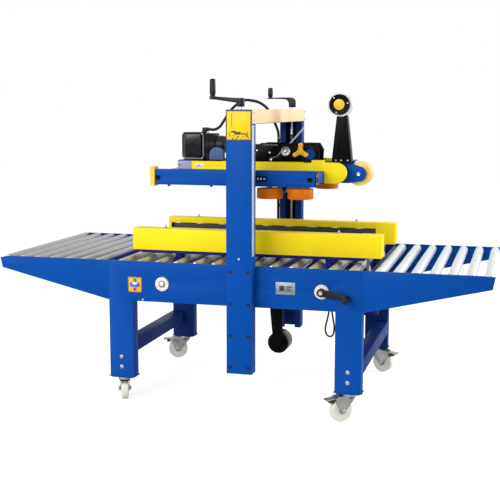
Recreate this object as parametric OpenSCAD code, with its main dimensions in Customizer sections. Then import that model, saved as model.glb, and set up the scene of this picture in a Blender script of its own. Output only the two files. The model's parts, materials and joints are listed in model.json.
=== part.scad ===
// Carton sealer with side belts: a roller bed on casters, two columns and a crossbeam, a tape
// head that two hand-cranked screws raise, and two belt units that a side crank moves in and out.
// X runs along the bed, Y across it (the operator stands at -Y) and Z up from the floor.

/* [Bed] */
// Length of the main bed between its two wings
bed_len = 1140; // [1080:10:1300]
// Width over the two side panels
bed_w = 892; // [840:2:1000]
// Height of the side panels' top edge above the floor
bed_top = 650; // [620:5:760]
// Height of the side panels
panel_h = 178; // [150:2:200]
// Thickness of the folded sheet metal
sheet = 3; // [2:0.5:4]
// Width of the panels' inward flanges
flange_w = 16; // [12:1:17]

/* [Wings] */
// Length of each wing
wing_len = 536; // [500:4:600]
// Height of a wing panel at its tip
tip_h = 54; // [45:1:80]

/* [Legs] */
// Leg width along the bed
leg_w = 114; // [90:2:130]
// Leg depth across the bed
leg_d = 55; // [45:1:60]
// Height of the legs' lower ends
leg_foot = 125; // [122:1:150]
// Side of the square brace between a near and a far leg
brace_w = 60; // [40:2:80]
// Height of the brace's underside
brace_z = 198; // [180:2:300]

/* [Rollers] */
// Roller diameter
roller_d = 42; // [36:1:46]
// Roller axle diameter
axle_d = 12; // [8:1:14]
// How far the roller tops stand above the panels
roller_rise = 3; // [0:0.5:6]
// Distance between rollers on the wings
wing_pitch = 75; // [70:1:80]
// Number of rollers on each wing
wing_count = 7; // [4:1:7]
// Number of roller places on the main bed
bed_count = 13; // [13:2:13]

/* [Columns] */
// Column width along the bed
column_w = 112; // [100:2:140]
// Column depth across the bed
column_d = 63; // [60:1:80]
// Column centre along the bed
column_x = 53; // [-60:1:80]
// Height of the columns' lower ends
column_foot = 190; // [150:5:300]
// Height of the columns' tops
column_top = 1314; // [1310:2:1500]
// Width of the slot in each column
column_slot = 52; // [48:1:60]
// Height of the crossbeam
beam_h = 60; // [40:2:60]

/* [Screws and cranks] */
// Diameter of the lift screws and of the side screws
screw_d = 20; // [16:1:24]
// Radial clearance of every running fit
fit_gap = 0.06; // [0.03:0.01:0.1]
// Clearance between pieces that move past each other
part_gap = 0.5; // [0.3:0.1:1]
// Crank length from the screw to the grip, front lift crank
front_crank = 122; // [100:2:150]
// Crank length from the screw to the grip, rear lift crank
rear_crank = 115; // [100:1:150]
// Height of the front grip's lower end above the column
front_grip_rise = 56; // [50:1:70]
// Height of the rear grip's lower end above the column
rear_grip_rise = 60; // [50:1:70]
// Crank length of the side crank
side_crank_len = 115; // [80:1:130]
// Grip diameter
grip_d = 26; // [20:1:32]
// Grip length of the front lift crank
front_grip_len = 71; // [50:1:90]
// Grip length of the rear lift crank
rear_grip_len = 48; // [40:1:90]

/* [Tape head] */
// Distance of the head rails' outer faces from the machine's middle
rail_y = 330; // [300:2:340]
// Thickness of a head rail
rail_t = 40; // [30:1:50]
// Height of a head rail
rail_h = 68; // [50:1:80]
// Height of the rails' undersides
rail_z = 983; // [970:1:990]
// Rail's outfeed end
rail_x0 = -388; // [-420:1:-360]
// Rail's infeed end
rail_x1 = 341; // [335:1:345]
// Diameter of the four side press rollers
press_d = 112; // [80:1:116]
// Height of the press rollers
press_h = 44; // [30:1:50]
// Diameter of the infeed press wheel
infeed_d = 108; // [90:1:112]
// Outer diameter of a tape roll
tape_d = 100; // [90:1:104]

/* [Side belts] */
// Outfeed end of the belt units
unit_x0 = -520; // [-540:1:-500]
// Infeed end of the belt units
unit_x1 = 622; // [615:1:640]
// Distance of the units' outer faces from the machine's middle
unit_y1 = 277; // [270:1:285]
// Depth of a unit
unit_d = 72; // [70:1:76]
// Height of the units' undersides
unit_z = 679; // [675:1:685]
// Height of the unit covers
unit_h = 98; // [90:1:110]
// Width of the belts
belt_w = 54; // [40:1:56]
// Belt pulley diameter
pulley_d = 64; // [56:1:64]

/* [Casters] */
// Caster wheel diameter
wheel_d = 100; // [80:1:100]
// Caster wheel width
wheel_w = 32; // [26:1:34]
// Distance of the wheel's axle from the swivel axis
wheel_trail = 38; // [34:1:42]

/* [Hidden] */
$fn = 48;
edge_y = bed_w / 2;
inner_y = edge_y - sheet;
panel_z = bed_top - panel_h;
end_x = bed_len / 2;
tip_x = end_x + wing_len;
roller_z = bed_top + roller_rise - roller_d / 2;
roller_end = edge_y - flange_w - 4;
roller_inset = 50;
bed_pitch = (bed_len - 2 * roller_inset) / (bed_count - 1);
wing_first = 60;
split_x = 3.2 * bed_pitch;
rail_in = 70;
leg_x = end_x - leg_w / 2;
leg_y = edge_y - leg_d / 2;
plate_t = 4;
column_out = edge_y + column_d;
screw_y = edge_y + column_d / 2;
beam_z = column_top - beam_h;
screw_foot = 480;
collar_z = 1187;
crank_z = column_top + 30;
head_mid = rail_z + rail_h / 2;
carriage_h = 40;
carriage_z = rail_z + 17;
carriage_w = column_w - 2 * sheet - 6;
side_y = 134;
cover_d = 37;
cover_x = 392;
top_pulley_x = [-230, 386];
top_belt_r = 38;
belt_mid_z = rail_z + 36;
deck_z = rail_z + 96;
head_deck = deck_z + plate_t;
press_y = rail_y - 30;
press_x = [133, 271];
press_z = 931;
infeed_x = 484;
infeed_z = 1027;
reel_x = 388;
reel_z = 1336;
reel_y0 = -28;
knob_x = 219;
knob_z = 1125;
arm_x = 216;
arm_z = 1050;
arm_roller_x = 128;
arm_roller_z = 950;
low_reel_x = 113;
low_reel_z = 226;
side_z = 554;
crank_x = 397;
dial_x = -317;
dial_t = 3;
guide_d = 25;
guide_x = [-360, 440];
screw_x = [dial_x, crank_x];
unit_y0 = unit_y1 - unit_d - 3;
belt_t = 3;
belt_y = unit_y0 + pulley_d / 2;
belt_z = unit_z + 15;
drive_x = 562;
idler_x = -470;
caster_turn = [113, 222, 200, -20];
caster_x = [-leg_x, leg_x, -leg_x, leg_x];
caster_y = [-leg_y, -leg_y, leg_y, leg_y];
fork_top = leg_foot - 2 * plate_t - part_gap;
pedal_x = 68;
pedal_z = 99;
switch_x = -444.5;
switch_z = 546;
button_z = [566, 526];
button_r = 6;
conduit_r = 7;
loop_r = 4;

blue = [0.07, 0.34, 0.70];
navy = [0.10, 0.16, 0.42];
yellow = [0.98, 0.85, 0.18];
orange = [0.95, 0.50, 0.10];
black = [0.08, 0.08, 0.09];
silver = [0.75, 0.76, 0.78];
white = [0.90, 0.90, 0.86];

// The head conduit leaves the motor's elbow, rises past the front crank and drops behind the beam.
head_route = [[-240, 0, 1221], [-232, 0, 1221], [-218, 4, 1220], [-203, 9, 1224], [-186, 14, 1238],
    [-167, 20, 1268], [-145, 32, 1305], [-115, 46, 1338], [-80, 62, 1357], [-58, 100, 1356],
    [-37, 140, 1349], [-22, 185, 1335], [-13, 234, 1315], [-13, 290, 1288], [-13, 345, 1262],
    [-13, 400, 1233], [-13, 440, 1206], [-13, 453, 1186], [-13, 455, 1175], [-13, 455, 1170]];
// The column conduit runs on down the far column into the terminal box on the far panel.
column_route = [[-13, 455, 1169], [-13, 455, 1070], [-13, 455, 970], [-13, 455, 870],
    [-13, 455, 770], [-13, 455, 670], [-13, 455, 590]];
// The lead that hangs in a loop under the bed by the near infeed leg.
loop_route = [[426, -426, 490], [426, -426, 482], [425, -426, 465], [419, -426, 435], [412, -426, 405],
    [411, -426, 385], [417, -426, 368], [430, -426, 360], [442, -426, 366], [448, -426, 384],
    [448, -426, 410], [443, -426, 440], [439, -426, 466], [438, -426, 482], [438, -426, 490]];

// A box given by its lowest and highest corners.
module block(low, high) {
    translate(low) cube(high - low);
}

// A rod along Y.
module rod_y(x, z, r, y0, y1) {
    translate([x, y0, z]) rotate([-90, 0, 0]) cylinder(r = r, h = y1 - y0);
}

// A plate in the XZ plane with the given outline, between y0 and y1.
module plate_xz(points, y0, y1) {
    translate([0, y1, 0]) rotate([90, 0, 0]) linear_extrude(y1 - y0) polygon(points);
}

module far_side() {
    mirror([0, 1, 0]) children();
}

function unit(v) = v / norm(v);
function tangent(p, i) = unit(p[min(i + 1, len(p) - 1)] - p[max(i - 1, 0)]);
function normals(p, i, n) = i == len(p) ? [] :
    let (t = tangent(p, i), m = unit(n - (n * t) * t)) concat([m], normals(p, i + 1, m));

// A cable: one tube swept along the route's points.
module cable(route, r, sides = 10) {
    count = len(route);
    n = normals(route, 0, [0.3, 0.5, 0.8]);
    points = [for (i = [0:count - 1], k = [0:sides - 1])
        let (a = 360 * k / sides, side = cross(tangent(route, i), n[i]))
            route[i] + r * (cos(a) * n[i] + sin(a) * side)];
    walls = [for (i = [0:count - 2], k = [0:sides - 1])
        let (j = (k + 1) % sides)
            [i * sides + k, (i + 1) * sides + k, (i + 1) * sides + j, i * sides + j]];
    caps = [[for (k = [0:sides - 1]) k], [for (k = [sides - 1:-1:0]) (count - 1) * sides + k]];
    polyhedron(points, concat(walls, caps));
}

// ---- bed ----

// A side panel folded to a C with its two box legs and their foot plates.
module side_frame() {
    difference() {
        union() {
            block([-end_x, -edge_y, panel_z], [end_x, -inner_y, bed_top]);
            block([-end_x, -edge_y, bed_top - sheet], [end_x, -edge_y + flange_w, bed_top]);
            block([-end_x, -edge_y, panel_z], [end_x, -edge_y + flange_w, panel_z + sheet]);
        }
        for (x = screw_x) rod_y(x, side_z, screw_d / 2 + fit_gap, -edge_y - 1, -inner_y + 1);
    }
    for (s = [-1, 1]) {
        difference() {
            block([s * leg_x - leg_w / 2, -edge_y, leg_foot],
                [s * leg_x + leg_w / 2, -edge_y + leg_d, roller_z - roller_d / 2 - 11]);
            block([s * leg_x - leg_w / 2 + sheet, -inner_y, leg_foot - 1],
                [s * leg_x + leg_w / 2 - sheet, -edge_y + leg_d - sheet, bed_top]);
        }
        difference() {
            union() {
                block([s * leg_x - leg_w / 2 - 4, -edge_y - 4, leg_foot - plate_t],
                    [s * leg_x + leg_w / 2 + 4, -edge_y + leg_d + 4, leg_foot]);
                block([s * leg_x - 50, -leg_y - 30, leg_foot - 2 * plate_t],
                    [s * leg_x + 50, -leg_y + 30, leg_foot]);
            }
            translate([s * leg_x, -leg_y, 0]) cylinder(r = 8 + fit_gap, h = leg_foot + 1);
        }
    }
}

module near_side_frame() {
    color(blue) difference() {
        side_frame();
        for (z = button_z) rod_y(switch_x, z, button_r + fit_gap, -edge_y - 1, -inner_y + 1);
    }
}

module far_side_frame() {
    color(blue) far_side() side_frame();
}

// One wing panel: the plate, with its lower edge rising to the tip, and its top flange.
module wing_panel(tip_cut) {
    plate_xz([[end_x, bed_top], [tip_x - 36 * tip_cut, bed_top], [tip_x, bed_top - 8 * tip_cut],
        [tip_x - 10, bed_top - tip_h], [end_x, panel_z]], -edge_y, -inner_y);
    block([end_x, -edge_y, bed_top - sheet], [tip_x - 40, -edge_y + flange_w, bed_top]);
}

module wing_panels() {
    color(blue) for (side = [0, 1]) mirror([0, side, 0]) {
        wing_panel(0);
        mirror([1, 0, 0]) wing_panel(1);
    }
}

// Leg braces, tie bars between bed and wings, split rollers' inner rails and the guide bars.
module cross_members() {
    color(blue) {
        for (s = [-1, 1]) {
            difference() {
                block([s * (end_x - brace_w / 2) - brace_w / 2, -edge_y + leg_d, brace_z],
                    [s * (end_x - brace_w / 2) + brace_w / 2, edge_y - leg_d, brace_z + brace_w]);
                block([s * (end_x - brace_w / 2) - brace_w / 2 + sheet, -edge_y, brace_z + sheet],
                    [s * (end_x - brace_w / 2) + brace_w / 2 - sheet, edge_y,
                        brace_z + brace_w - sheet]);
            }
            rod_y(s * (end_x + 28), bed_top - 16, 10, -inner_y, inner_y);
            for (w = [-1, 1]) block([w * 2.5 * bed_pitch - 15, min(s * rail_in, s * inner_y), 600],
                [w * 2.5 * bed_pitch + 15, max(s * rail_in, s * inner_y), 640]);
            block([-split_x, s * (rail_in - 2) - 2, 600], [split_x, s * (rail_in - 2) + 2, 645]);
        }
    }
    color(silver) for (x = guide_x) rod_y(x, side_z, guide_d / 2, -inner_y, inner_y);
}

// A gravity roller: a tube that turns on the caps of a fixed axle.
module roller(x, y0, y1, axle0, axle1) {
    difference() {
        rod_y(x, roller_z, roller_d / 2, y0, y1);
        rod_y(x, roller_z, roller_d / 2 - 1.5, y0 - 1, y1 + 1);
    }
    rod_y(x, roller_z, axle_d / 2, axle0, axle1);
    for (y = [y0 + 0.5, y1 - 10.5]) rod_y(x, roller_z, roller_d / 2 - 1.7, y, y + 10);
}

module wing_rollers() {
    color(silver) for (s = [-1, 1], k = [0:wing_count - 1])
        roller(s * (end_x + wing_first + k * wing_pitch), -roller_end, roller_end, -inner_y, inner_y);
}

module bed_rollers() {
    color(silver) for (k = [0:bed_count - 1]) {
        x = -end_x + roller_inset + k * bed_pitch;
        if (abs(x) > split_x) roller(x, -roller_end, roller_end, -inner_y, inner_y);
        else for (side = [0, 1]) mirror([0, side, 0])
            roller(x, rail_in + 4, roller_end, rail_in, inner_y);
    }
}

// ---- columns and crossbeam ----

// A column folded to a C whose slot faces the bed, with a bearing block at the screw's foot.
module column() {
    x0 = column_x - column_w / 2;
    x1 = column_x + column_w / 2;
    difference() {
        block([x0, -column_out, column_foot], [x1, -edge_y, column_top]);
        block([x0 + sheet, -column_out + sheet, column_foot - 1],
            [x1 - sheet, -edge_y - sheet, column_top - sheet]);
        block([column_x - column_slot / 2, -edge_y - sheet - 1, column_foot - 1],
            [column_x + column_slot / 2, -edge_y + 1, beam_z]);
        translate([column_x, -screw_y, column_top - 10]) cylinder(r = screw_d / 2 + fit_gap, h = 20);
    }
    difference() {
        block([x0 + sheet, -column_out + sheet, screw_foot - 6],
            [x1 - sheet, -edge_y - sheet, screw_foot + 14]);
        translate([column_x, -screw_y, screw_foot]) cylinder(r = screw_d / 2 + fit_gap, h = 20);
    }
}

module near_column() {
    color(blue) column();
}

module far_column() {
    color(blue) far_side() column();
}

module crossbeam() {
    color(blue) difference() {
        block([column_x - column_w / 2, -edge_y, beam_z],
            [column_x + column_w / 2, edge_y, column_top]);
        block([column_x - column_w / 2 + sheet, -edge_y - 1, beam_z - 1],
            [column_x + column_w / 2 - sheet, edge_y + 1, column_top - sheet]);
    }
}

module beam_cover() {
    color([0.98, 0.90, 0.70]) block([column_x + column_w / 2, -column_out + 3, beam_z + 2],
        [column_x + column_w / 2 + sheet, column_out - 3, column_top]);
}

// Cap screws of the columns, dome bolts of the legs, and small screws.
module frame_bolts() {
    color(black) for (side = [0, 1]) mirror([0, side, 0])
        for (x = [-40, 40], z = [218, 355, 492, 630])
            rod_y(column_x + x, z, 7.5, -column_out - 3, -column_out);
    color(silver) for (side = [0, 1]) mirror([0, side, 0]) {
        rod_y(column_x, bed_top + 40, 5, -column_out - 2.5, -column_out);
        for (s = [-1, 1], z = [168, 214]) rod_y(s * leg_x, z, 8, -edge_y - 5, -edge_y);
    }
    color(silver) rod_y(-408, panel_z + 9, 5, -edge_y - 3, -edge_y);
}

// The column's picture plate, the rating plate, the two scale discs and the switch plate.
module panel_plates() {
    switch_plate();
    color(yellow) block([column_x - column_w / 2 + 1, -column_out - 1, 1187],
        [column_x + column_w / 2 - 1, -column_out, column_top - 3]);
    color(silver) block([198, -edge_y - 1.5, 535], [283, -edge_y, 588]);
    color(white) for (x = screw_x) difference() {
        rod_y(x, side_z, 33, -edge_y - dial_t, -edge_y);
        rod_y(x, side_z, screw_d / 2 + fit_gap, -edge_y - dial_t - 1, -edge_y + 1);
    }
}

module switch_plate() {
    color(yellow) difference() {
        block([switch_x - 32, -edge_y - 3, switch_z - 34], [switch_x + 32, -edge_y, switch_z + 34]);
        for (z = button_z) rod_y(switch_x, z, button_r + fit_gap, -edge_y - 4, -edge_y + 1);
    }
    color(white) rod_y(switch_x, switch_z, 11, -edge_y - 6, -edge_y - 3);
}

module button(z) {
    rod_y(switch_x, z, button_r, -edge_y - 9, -inner_y + 2);
}

module start_button() {
    color([0.1, 0.6, 0.2]) button(button_z[0]);
}

module stop_button() {
    color([0.8, 0.1, 0.1]) button(button_z[1]);
}

// ---- cables ----

// The column conduit with its clips, and the two terminal boxes on the panels.
module frame_wiring() {
    color(black) {
        cable(column_route, conduit_r);
        for (z = [826, 1160])
            block([column_x - column_w / 2 - 3, 449, z - 6], [column_x - column_w / 2, 461, z + 6]);
        block([column_x - column_w / 2 - 22, edge_y, 560], [column_x - column_w / 2, edge_y + 20, 590]);
        block([408, -inner_y, 490], [456, -418, 520]);
    }
}

module loop_lead() {
    color(black) cable(loop_route, loop_r, 8);
}

module head_conduit() {
    color(black) cable(head_route, conduit_r);
}

// ---- lift screws and cranks ----

// A lift screw with its bearing washer and its stop collar.
module lift_screw(y) {
    color(silver) translate([column_x, y, 0]) {
        translate([0, 0, screw_foot]) cylinder(r = screw_d / 2, h = crank_z - screw_foot);
        translate([0, 0, collar_z]) cylinder(r = 14, h = 10);
        translate([0, 0, column_top]) cylinder(r = 15, h = 3);
    }
}

// The pin at a crank's tip, on its boss, which the grip turns on.
module crank_pin(x, y, z, boss, grip_len) {
    translate([x, y, z - boss]) cylinder(r = 13, h = boss);
    translate([x, y, z - 1]) cylinder(r = 5, h = grip_len - 7);
}

// The front crank: a straight arm that tapers from its hub and rises a little.
module straight_crank(y) {
    tip_x = column_x - front_crank;
    tip_z = column_top + front_grip_rise;
    translate([column_x, y, column_top + 12]) cylinder(r = 16, h = front_grip_rise - 20);
    plate_xz([[column_x, tip_z - 30], [column_x, tip_z - 9], [tip_x, tip_z - 1],
        [tip_x, tip_z - 13]], y - 11, y + 11);
    crank_pin(tip_x, y, tip_z, 14, front_grip_len);
}

// The rear crank: a thin flat arm that turns down into its hub in a bend.
module bent_crank(y) {
    tip_x = column_x - rear_crank;
    tip_z = column_top + rear_grip_rise;
    hub_r = 16;
    bend_r = 24;
    outer = [for (a = [90:-15:0]) [column_x + hub_r - bend_r, tip_z - bend_r] + bend_r * [cos(a), sin(a)]];
    inner = [for (a = [0:15:90]) [column_x - hub_r - bend_r, tip_z - bend_r - 9] + bend_r * [cos(a), sin(a)]];
    foot = [[column_x + hub_r, column_top + 12], [column_x - hub_r, column_top + 12]];
    plate_xz(concat(outer, foot, inner, [[tip_x, tip_z - 6], [tip_x, tip_z - 0.5]]), y - 12, y + 12);
    translate([column_x, y, column_top + 11]) cylinder(r = hub_r + 1, h = 20);
    crank_pin(tip_x, y, tip_z, 8, rear_grip_len);
}

module crank_grip(y, reach, rise, grip_len) {
    color(black) translate([column_x - reach, y, column_top + rise + part_gap]) difference() {
        rotate_extrude() polygon([[0, 0], [grip_d / 2 - 4, 0], [grip_d / 2, 12],
            [grip_d / 2 - 1, grip_len - 6], [grip_d / 2 - 4, grip_len], [0, grip_len]]);
        translate([0, 0, -1]) cylinder(r = 5 + fit_gap, h = grip_len - 5);
    }
}

module near_lift_screw() {
    lift_screw(-screw_y);
    color(black) straight_crank(-screw_y);
}

module near_crank_grip() {
    crank_grip(-screw_y, front_crank, front_grip_rise, front_grip_len);
}

module far_lift_screw() {
    lift_screw(screw_y);
    color(black) bent_crank(screw_y);
}

module far_crank_grip() {
    crank_grip(screw_y, rear_crank, rear_grip_rise, rear_grip_len);
}

side_arm = [crank_x + side_crank_len * cos(10), side_z - side_crank_len * sin(10)];

module side_crank() {
    color(silver) rod_y(crank_x, side_z, screw_d / 2, -edge_y - 20, edge_y);
    color(black) {
        rod_y(crank_x, side_z, 17, -edge_y - 28, -edge_y - dial_t - part_gap);
        translate([crank_x, -edge_y - 15, side_z]) rotate([0, 10, 0]) rotate([90, 0, 0])
            linear_extrude(11) polygon([[0, -15], [side_crank_len, -11],
                [side_crank_len, 11], [0, 15]]);
        rod_y(side_arm[0], side_arm[1], 13, -edge_y - 29, -edge_y - 14);
        rod_y(side_arm[0], side_arm[1], 4, -edge_y - 80, -edge_y - 28);
    }
}

module side_crank_grip() {
    color(black) difference() {
        rod_y(side_arm[0], side_arm[1], grip_d / 2, -edge_y - 88, -edge_y - 29 - part_gap);
        rod_y(side_arm[0], side_arm[1], 4 + fit_gap, -edge_y - 83, -edge_y);
    }
}

module left_side_screw() {
    color(silver) rod_y(dial_x, side_z, screw_d / 2, -edge_y - 8, edge_y);
}

// ---- tape head ----

// One rail folded to a C, with the square holes near its ends.
module head_rail() {
    difference() {
        block([rail_x0, -rail_y, rail_z], [rail_x1, -rail_y + rail_t, rail_z + rail_h]);
        block([rail_x0 - 1, -rail_y + sheet, rail_z + sheet],
            [rail_x1 + 1, -rail_y + rail_t + 1, rail_z + rail_h - sheet]);
        for (x = [rail_x0 + 12, rail_x1 - 18]) block([x - 8, -rail_y - 1, head_mid - 11],
            [x + 8, -rail_y + sheet + 1, head_mid + 5]);
    }
}

// The carriage in a column, with the nut that runs on the lift screw.
module carriage() {
    difference() {
        block([column_x - carriage_w / 2, -screw_y - 22, carriage_z],
            [column_x + carriage_w / 2, -screw_y + 26, carriage_z + carriage_h]);
        translate([column_x, -screw_y, carriage_z - 1])
            cylinder(r = screw_d / 2 + fit_gap, h = carriage_h + 2);
    }
    block([column_x - column_slot / 2 + 2, -screw_y + 25, carriage_z],
        [column_x + column_slot / 2 - 2, -rail_y + 1, carriage_z + carriage_h]);
    block([column_x - column_slot / 2 + 2, -rail_y + 1, carriage_z],
        [column_x + column_slot / 2 - 2, -side_y + 1, carriage_z + carriage_h]);
}

// The shafts that the press rollers turn on, under a rail.
module press_shafts() {
    for (x = press_x) translate([x, -press_y, 0]) {
        translate([0, 0, press_z - 4]) cylinder(r = 6, h = rail_z - press_z + 6);
        translate([0, 0, press_z - 4]) cylinder(r = 11, h = 4 - part_gap);
        translate([0, 0, press_z + press_h + part_gap])
            cylinder(r = 11, h = rail_z - press_z - press_h);
    }
}

module head_frame() {
    color(blue) {
        for (side = [0, 1]) mirror([0, side, 0]) {
            head_rail();
            carriage();
            press_shafts();
            block([rail_x0 + rail_t, -side_y, rail_z + 3], [rail_x1, -side_y + sheet, carriage_z + 42]);
            block([rail_x1 - 40, -rail_y + sheet, rail_z + 10], [rail_x1, -side_y, rail_z + 58]);
        }
        block([rail_x0, -rail_y + sheet, rail_z + 10],
            [rail_x0 + rail_t, rail_y - sheet, rail_z + 58]);
    }
    color([0.6, 0.6, 0.75]) block([rail_x0 + rail_t, -side_y, carriage_z + 41],
        [rail_x0 + 104, -side_y + sheet, head_deck]);
}

// The two top belt units: each a yellow cover, open below, over a belt on two pulleys.
module top_belt_units() {
    y0 = -side_y + sheet;
    y1 = y0 + cover_d;
    end_r = (deck_z - rail_z - 4) / 2;
    end_z = deck_z - end_r;
    color(yellow) for (side = [0, 1]) mirror([0, side, 0]) {
        difference() {
            union() {
                block([-284, y0, end_z - end_r], [cover_x, y1, deck_z]);
                rod_y(cover_x, end_z, end_r, y0, y1);
                block([283, y0, deck_z - 1], [336, y1, deck_z + 10]);
            }
            block([-281, y0 + 3, rail_z - 1], [cover_x, y1 - 3, deck_z - 3]);
            rod_y(cover_x, end_z, end_r - 3, y0 + 3, y1 - 3);
            block([cover_x - 1, y0 + 3, rail_z - 1], [cover_x + end_r + 1, y1 - 3, belt_mid_z]);
        }
    }
    color(white) for (side = [0, 1]) mirror([0, side, 0]) difference() {
        union() {
            block([top_pulley_x[0], y0 + 5, belt_mid_z - top_belt_r],
                [top_pulley_x[1], y1 - 5, belt_mid_z + top_belt_r]);
            for (x = top_pulley_x) rod_y(x, belt_mid_z, top_belt_r, y0 + 5, y1 - 5);
        }
        block([top_pulley_x[0], y0, belt_mid_z - top_belt_r + belt_t],
            [top_pulley_x[1], y1, belt_mid_z + top_belt_r - belt_t]);
        for (x = top_pulley_x) rod_y(x, belt_mid_z, top_belt_r - belt_t, y0, y1);
    }
    color(silver) for (side = [0, 1], x = top_pulley_x) mirror([0, side, 0])
        rod_y(x, belt_mid_z, top_belt_r - belt_t - 0.4, y0 + 3, y1 - 3);
}

// The tape cartridge: two stepped side plates, their spacers and the two straps that hold them.
module tape_cartridge() {
    color(black) {
        difference() {
            for (s = [-1, 1]) plate_xz([[-140, deck_z - 60], [240, deck_z - 60], [300, deck_z - 20],
                [303, deck_z + 53], [285, deck_z + 83], [30, deck_z + 83], [20, deck_z + 74],
                [-110, deck_z + 74], [-140, deck_z + 40]], min(s * 52, s * 55), max(s * 52, s * 55));
            rod_y(knob_x, knob_z, 5 + fit_gap, -60, 0);
            rod_y(arm_x, arm_z, 6 + fit_gap, -60, 60);
        }
        for (x = [-100, 10], z = [deck_z - 40, deck_z + 50]) rod_y(x, z, 8, -53, 53);
        rod_y(250, deck_z - 43, 8, -53, 53);
        rod_y(270, deck_z + 40, 8, -53, 53);
        for (x = [-100, 262]) block([x - 15, -side_y, deck_z], [x + 15, side_y, deck_z + 6]);
    }
    color(silver) {
        rod_y(148, knob_z, 19, -50, 50);
        rod_y(148, knob_z, 8, -52, 52);
    }
}

// The sprung arm with the roller that lays the tape on the carton.
module cartridge_arm() {
    color(black) {
        for (s = [-1, 1]) plate_xz([[arm_x + 14, arm_z - 4], [arm_x - 4, arm_z + 14],
            [arm_roller_x - 14, arm_roller_z + 4], [arm_roller_x + 2, arm_roller_z - 13],
            [arm_roller_x + 14, arm_roller_z]], min(s * 34, s * 38), max(s * 34, s * 38));
        rod_y(arm_x, arm_z, 6, -57, 57);
        rod_y(arm_roller_x, arm_roller_z, 6, -36, 36);
    }
    color([0.3, 0.3, 0.3]) rod_y(arm_roller_x, arm_roller_z, 20, -33, 33);
}

module width_knob() {
    color(orange) {
        rod_y(knob_x, knob_z, 14, -83, -55 - part_gap);
        for (a = [90, 210, 330]) {
            translate([knob_x, -62, knob_z]) rotate([90, 0, 0]) rotate([0, 0, a])
                linear_extrude(18) polygon([[0, -12], [30, -8], [30, 8], [0, 12]]);
            rod_y(knob_x + 29 * cos(a), knob_z + 29 * sin(a), 10, -81, -61);
        }
    }
    color(silver) rod_y(knob_x, knob_z, 5, -60, -46);
}

// The drive motor on its base plate, its elbow gland and the arched chain guard.
module drive_motor() {
    color(black) {
        block([rail_x0 + 41, -side_y + 3, deck_z], [-150, side_y - 3, head_deck]);
        block([-357, -50, head_deck], [-248, 50, 1209]);
        block([-248, -44, head_deck], [-200, 44, 1200]);
        translate([-200, 0, 1150]) rotate([0, 90, 0]) cylinder(r = 36, h = 42);
        translate([-262, 0, 1208]) cylinder(r = 11, h = 24);
        translate([-262, 0, 1221]) rotate([0, 90, 0]) cylinder(r = 9, h = 22);
    }
    color(blue) difference() {
        union() {
            block([-210, -88, head_deck], [-142, -62, 1107]);
            rod_y(-176, 1107, 34, -88, -62);
        }
        block([-207, -85, deck_z], [-145, -61, 1107]);
        rod_y(-176, 1107, 31, -85, -61);
    }
}

// The black mast over the head and the back plate that carries the tape reel's axle.
module reel_mast() {
    color(black) {
        block([338, -100, deck_z], [452, 100, head_deck]);
        difference() {
            plate_xz([[354, head_deck], [444, head_deck], [421, 1284], [375, 1284]], -28, 28);
            plate_xz([[357, head_deck + sheet], [441, head_deck + sheet], [418, 1290],
                [378, 1290]], -25, 25);
        }
        plate_xz([[374, 1240], [422, 1240], [408, reel_z], [368, reel_z]], 28, 33);
        rod_y(reel_x, reel_z, 20, 28, 33);
        rod_y(reel_x, reel_z, 10, reel_y0 - 5, 30);
    }
}

// A tape roll with its black disc and orange hub; a blind bore takes the mast's axle.
module tape_reel() {
    difference() {
        union() {
            color([0.85, 0.8, 0.7]) rod_y(reel_x, reel_z, tape_d / 2, reel_y0, 26);
            color(black) rod_y(reel_x, reel_z, 43, reel_y0 - 8, reel_y0);
            color(orange) rod_y(reel_x, reel_z, 24, reel_y0 - 18, reel_y0 - 8);
        }
        rod_y(reel_x, reel_z, 10 + fit_gap, reel_y0 - 5 - part_gap, 30);
    }
}

// The pair of blue cheeks at the infeed end, with the press wheel's axle.
module infeed_bracket() {
    color(blue) for (s = [-1, 1]) union() {
        plate_xz([[396, deck_z], [440, deck_z], [infeed_x + 6, infeed_z + 33],
            [infeed_x + 6, infeed_z - 33], [440, infeed_z - 42], [396, infeed_z - 42]],
            min(s * 56, s * 60), max(s * 56, s * 60));
        rod_y(infeed_x, infeed_z, 34, min(s * 56, s * 60), max(s * 56, s * 60));
    }
    color(silver) rod_y(infeed_x, infeed_z, 8, -63, 63);
}

module infeed_wheel() {
    color(orange) difference() {
        rod_y(infeed_x, infeed_z, infeed_d / 2, -45, 45);
        rod_y(infeed_x, infeed_z, 8 + fit_gap, -50, 50);
    }
}

module press_roller(x, y) {
    color(orange) translate([x, y, press_z]) difference() {
        cylinder(r = press_d / 2, h = press_h);
        translate([0, 0, -1]) cylinder(r = 6 + fit_gap, h = press_h + 2);
    }
}

module near_press_roller_left() {
    press_roller(press_x[0], -press_y);
}

module near_press_roller_right() {
    press_roller(press_x[1], -press_y);
}

module far_press_roller_left() {
    press_roller(press_x[0], press_y);
}

module far_press_roller_right() {
    press_roller(press_x[1], press_y);
}

// ---- lower tape unit ----

module lower_tape_unit() {
    color(black) {
        for (s = [-1, 1]) block([-220, min(s * 52, s * 55), 520], [220, max(s * 52, s * 55), 646]);
        for (x = [-150, 60]) {
            block([x, -rail_in + 4, 602], [x + 25, rail_in - 4, 610]);
            rod_y(x, 560, 10, -53, 53);
        }
        for (x = [-60, 190]) rod_y(x, 628, 16, -53, 53);
        plate_xz([[71, 560], [134, 560], [137, 380], [low_reel_x + 22, low_reel_z],
            [low_reel_x - 22, low_reel_z], [76, 380]], -61, -55);
        rod_y(low_reel_x, low_reel_z, 22, -61, -55);
        rod_y(low_reel_x, low_reel_z, 10, -56, 40);
    }
}

module lower_tape_reel() {
    color([0.3, 0.3, 0.3]) difference() {
        rod_y(low_reel_x, low_reel_z, tape_d / 2, -54, 34);
        rod_y(low_reel_x, low_reel_z, 10 + fit_gap, -60, 38);
    }
}

// ---- side belt units ----

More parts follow.
